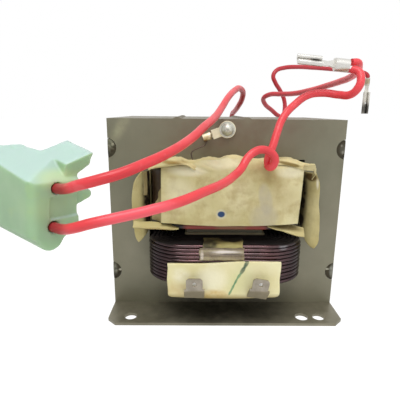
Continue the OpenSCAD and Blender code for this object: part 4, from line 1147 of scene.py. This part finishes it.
def flap(ends, back_z, front_z, depth, lip, seed):
    """A folded flap under the panel: a ledge that falls from the coil to a front edge, with a lip that curls
    up."""
    u, v = unit_grid(60, 24)
    x = ends[0] + (ends[1] - ends[0]) * u
    behind = smooth_line(x, back_z)
    ahead = smooth_line(x, front_z)
    y = FLAP_FRONT + depth * (1 - v)
    z = behind + (ahead - behind) * v ** 1.5 + lip * np.clip(v - LIP_FROM, 0, 1) ** 2
    return xyz(x, y + 0.2 * crumple(x, z, 9, seed), z + 0.1 * crumple(x, y, 6, seed + 1))


def flaps():
    """The two flaps under the front panel."""
    left = flap((-36.2, -18.8), [(-36.2, 42.4), (-24, 41.7), (-18.8, 41.0)],
                [(-36.2, 40.9), (-26, 40.2), (-18.8, 40.4)], 3.2, 2.0, 131)
    make_sheet("left_flap", [left], FLAP_THICKNESS, LINER_FINISH, "insulation_paper", "front_flap_left")
    right = flap((15, 29.4), [(15, 42.0), (20, 41.9), (25, 41.5), (29.4, 40.4)],
                 [(15, 41.4), (20, 39.8), (25, 38.1), (29.4, 37.2)], 2.4, 6.0, 141)
    make_sheet("right_flap", [right], FLAP_THICKNESS, LINER_FINISH, "insulation_paper", "front_flap_right")


flaps()

GROUND_ROUTE = [(-8.0, -31.6, 72.8), (-8.7, -32.0, 71.3), (-9.9, -32.2, 70.5), (-13.0, -32.8, 69.2),
                (-14.2, -34.0, 68.1), (-14.1, -36.5, 67.0), (-13.6, -40.0, 66.25)]
GROUND_DIAMETER = 0.45
STRAND_STEPS = 80
STRAND_SIDES = 10


def ground_strand():
    """The ground wire: a circle carried along a smooth line from the lug's crimp down to the top paper."""
    knots = np.arange(len(GROUND_ROUTE))
    t = np.linspace(0, knots[-1], STRAND_STEPS)
    path = np.stack([smooth_line(t, list(zip(knots, axis))) for axis in np.array(GROUND_ROUTE).T], -1)
    heading = np.gradient(path, axis=0)
    side = np.cross(heading, [0, 0, 1])
    over = np.cross(side, heading)
    side, over = (a / np.linalg.norm(a, axis=1, keepdims=True) for a in (side, over))
    around = np.linspace(0, 2 * np.pi, STRAND_SIDES, endpoint=False)[None, :, None]
    ring = np.cos(around) * side[:, None] + np.sin(around) * over[:, None]
    points = path[:, None] + GROUND_DIAMETER / 2 * ring
    tube = grid_faces(STRAND_STEPS, STRAND_SIDES, False, True)
    cap = cap_faces(STRAND_SIDES)
    faces = np.concatenate([tube, cap, (STRAND_STEPS - 1) * STRAND_SIDES + cap[:, ::-1]])
    make_piece("ground_strand", [(points, faces)], STRAND_FINISH, "enamelled_wire", "ground_wire")


ground_strand()

KNOT_THICKNESS = 0.45
KNOT_PATH = np.array([[27.4, -46.0, 64.4], [33.2, -46.8, 65.6], [32.5, -40.0, 59.6]])
KNOT_WIDTH = np.array([0.2, 1.5, -1.9])


def wrap_knot():
    """A knotted fold at the top right of the wrap: a crumpled strip, widest in its middle, along a quadratic
    curve."""
    u, v = unit_grid(50, 20)
    shares = xyz((1 - u) ** 2, 2 * u * (1 - u), u ** 2)
    widened = (1 + 0.4 * np.sin(np.pi * u))[..., None] * KNOT_WIDTH
    knot = shares @ KNOT_PATH + (v - 0.5)[..., None] * widened
    knot[..., 0] += crumple(6 * u, 4 * v, 3, 151) * 0.3
    knot[..., 1] -= crumple(6 * u, 4 * v, 3.5, 152) * 0.35
    make_sheet("wrap_knot", [knot], KNOT_THICKNESS, WRAP_FINISH, "insulation_paper")


wrap_knot()

TORN_THICKNESS = 0.4
TORN_WIDTH = 4.0
TORN_HEIGHT = 13.3
TORN_DEPTH = 4.2
TORN_CORNER = (-25.2, -44.6, 42.7)
INNER_CORNER = (-32.5, -40.6, 52.3)
INNER_WIDTH = 1.2
INNER_DEPTH = 0.8
INNER_HEIGHT = 9.2


def torn_corner():
    """A torn corner behind the left edge of the panel: a triangle with a ragged edge that bends back. Beside
    it, the edge of an inner layer: a narrow wavy strip."""
    u, v = unit_grid(24, 40)
    x, y, z = TORN_CORNER
    width = TORN_WIDTH * np.clip(1 - v, 0, 1) ** 0.7 * (1 + 0.15 * np.sin(17 * v))
    bent = y + TORN_DEPTH * u ** 0.8 + 0.4 * crumple(3 * u, 12 * v, 3, 153)
    torn = xyz(x - width * u, bent, z + TORN_HEIGHT * v)
    u, v = unit_grid(8, 24)
    x, y, z = INNER_CORNER
    inner = xyz(x + INNER_WIDTH * u + 0.2 * np.sin(3 * v), y + INNER_DEPTH * u, z + INNER_HEIGHT * v)
    make_sheet("torn_corner", [torn, inner], TORN_THICKNESS, SHADED_FINISH, "insulation_paper")


torn_corner()

# Finishes of the CAD nodes that stay
NODE_FINISHES = {
    "core_e_stack": CORE_FINISH, "core_i_stack": CORE_FINISH, "top_welds": TOP_WELD_FINISH,
    "base_plate": PLATE_FINISH, "shunt_left": SHUNT_FINISH, "shunt_right": SHUNT_FINISH,
    "primary_liner": TUBE_FINISH, "secondary_liner": TUBE_FINISH,
    "secondary_winding": DARK_WINDING_FINISH, "filament_winding": FILAMENT_FINISH,
    "primary_tab_left": TAB_FINISH, "primary_tab_right": TAB_FINISH, "ground_rivet": RIVET_FINISH,
    "ground_lug": LUG_FINISH, "connector_housing": NYLON_FINISH,
    "contact_upper": BRASS_FINISH, "contact_lower": BRASS_FINISH,
    "capacitor_terminal": TERMINAL_FINISH, "jumper_terminal": DULL_TERMINAL_FINISH}
# Rounding of their edges, in millimetres
NODE_EDGES = {"primary_tab_left": 0.15, "primary_tab_right": 0.15, "ground_lug": 0.12}
JOIN_DISTANCE = 0.002
EDGE_SEGMENTS = 4
SHARP_ANGLE = math.radians(35)


def dress_node(node, finish):
    """Gives a CAD node its finish and, where it has one, its rounded edges."""
    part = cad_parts[node]
    part.data.materials.clear()
    part.data.materials.append(finish)
    if node in NODE_EDGES:
        weld = part.modifiers.new("joined", "WELD")
        weld.merge_threshold = JOIN_DISTANCE * MM
        bevel = part.modifiers.new("edges", "BEVEL")
        bevel.width = NODE_EDGES[node] * MM
        bevel.segments = EDGE_SEGMENTS
        bevel.limit_method = "ANGLE"
        bevel.angle_limit = SHARP_ANGLE


for node_name, node_finish in NODE_FINISHES.items():
    dress_node(node_name, node_finish)

MOULDING_CELL = 0.3
MOULDING_FACTOR = 0.5
MOULDING_ROUNDS = 14


def soften_moulding(node):
    """Gives a moulded CAD node soft edges: its surface is drawn again in small cells and smoothed."""
    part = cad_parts[node]
    cells = part.modifiers.new("cells", "REMESH")
    cells.mode = "VOXEL"
    cells.voxel_size = MOULDING_CELL * MM
    cells.use_smooth_shade = True
    smooth = part.modifiers.new("soft", "SMOOTH")
    smooth.factor = MOULDING_FACTOR
    smooth.iterations = MOULDING_ROUNDS


soften_moulding("connector_housing")

# Floor, world and lamps
WHITE = srgb("#ffffff")
FLOOR_PAINT = (0.9, 0.9, 0.9, 1)
FLOOR_HALF = 3000
FLOOR_GLOW = 0.86
GLOW_STRENGTH = 1.15
WORLD_STRENGTH = 0.4
KEY_POWER = 3.2
FILL_POWER = 0.5
LAMP_AIM = (0, -20, 50)


def seen_directly(tree):
    """1 for camera, mirror and see-through rays, and 0 for the rays that light the part."""
    path = put(tree, "ShaderNodeLightPath")
    both = put(tree, "ShaderNodeMath", {0: path.outputs["Is Camera Ray"], 1: path.outputs["Is Glossy Ray"]},
               operation="MAXIMUM")
    return put(tree, "ShaderNodeMath", {0: both, 1: path.outputs["Is Transmission Ray"]}, operation="MAXIMUM")


def make_floor():
    """A wide pale floor: white paint that glows a little to the camera and keeps the soft shadow."""
    points = np.array([[-1, -1, 0], [1, -1, 0], [1, 1, 0], [-1, 1, 0]]) * FLOOR_HALF * MM
    mesh = bpy.data.meshes.new("floor")
    mesh.from_pydata(points.tolist(), [], [[0, 1, 2, 3]])
    material = bpy.data.materials.new("white paint")
    tree = empty_tree(material)
    paint = put(tree, "ShaderNodeBsdfDiffuse", {"Color": FLOOR_PAINT})
    glow = put(tree, "ShaderNodeEmission", {"Color": WHITE, "Strength": GLOW_STRENGTH})
    share = put(tree, "ShaderNodeMath", {0: seen_directly(tree), 1: FLOOR_GLOW}, operation="MULTIPLY")
    mixed = put(tree, "ShaderNodeMixShader", {"Fac": share, 1: paint, 2: glow})
    put(tree, "ShaderNodeOutputMaterial", {"Surface": mixed})
    mesh.materials.append(material)
    floor = add_object("floor", mesh)


def make_world():
    """Even pale light from all round, white where it is seen directly."""
    world = bpy.data.worlds.new("studio")
    bpy.context.scene.world = world
    tree = empty_tree(world)
    light = put(tree, "ShaderNodeBackground", {"Color": WHITE, "Strength": WORLD_STRENGTH})
    white = put(tree, "ShaderNodeBackground", {"Color": WHITE, "Strength": 1.0})
    mixed = put(tree, "ShaderNodeMixShader", {"Fac": seen_directly(tree), 1: light, 2: white})
    put(tree, "ShaderNodeOutputWorld", {"Surface": mixed})


def make_lamp(name, place, size, power):
    """A square lamp, sizes in millimetres, that faces the middle of the part."""
    data = bpy.data.lights.new(name, "AREA")
    data.size = size * MM
    data.energy = power
    lamp = add_object(name, data)
    lamp.location = Vector(place) * MM
    aim = Vector(LAMP_AIM) * MM
    lamp.rotation_euler = (aim - lamp.location).to_track_quat("-Z", "Y").to_euler()


make_floor()
make_world()
make_lamp("key", (-70, -300, 620), 420, KEY_POWER)
make_lamp("fill", (380, -300, 260), 500, FILL_POWER)

bpy.context.scene.view_settings.view_transform = "Standard"
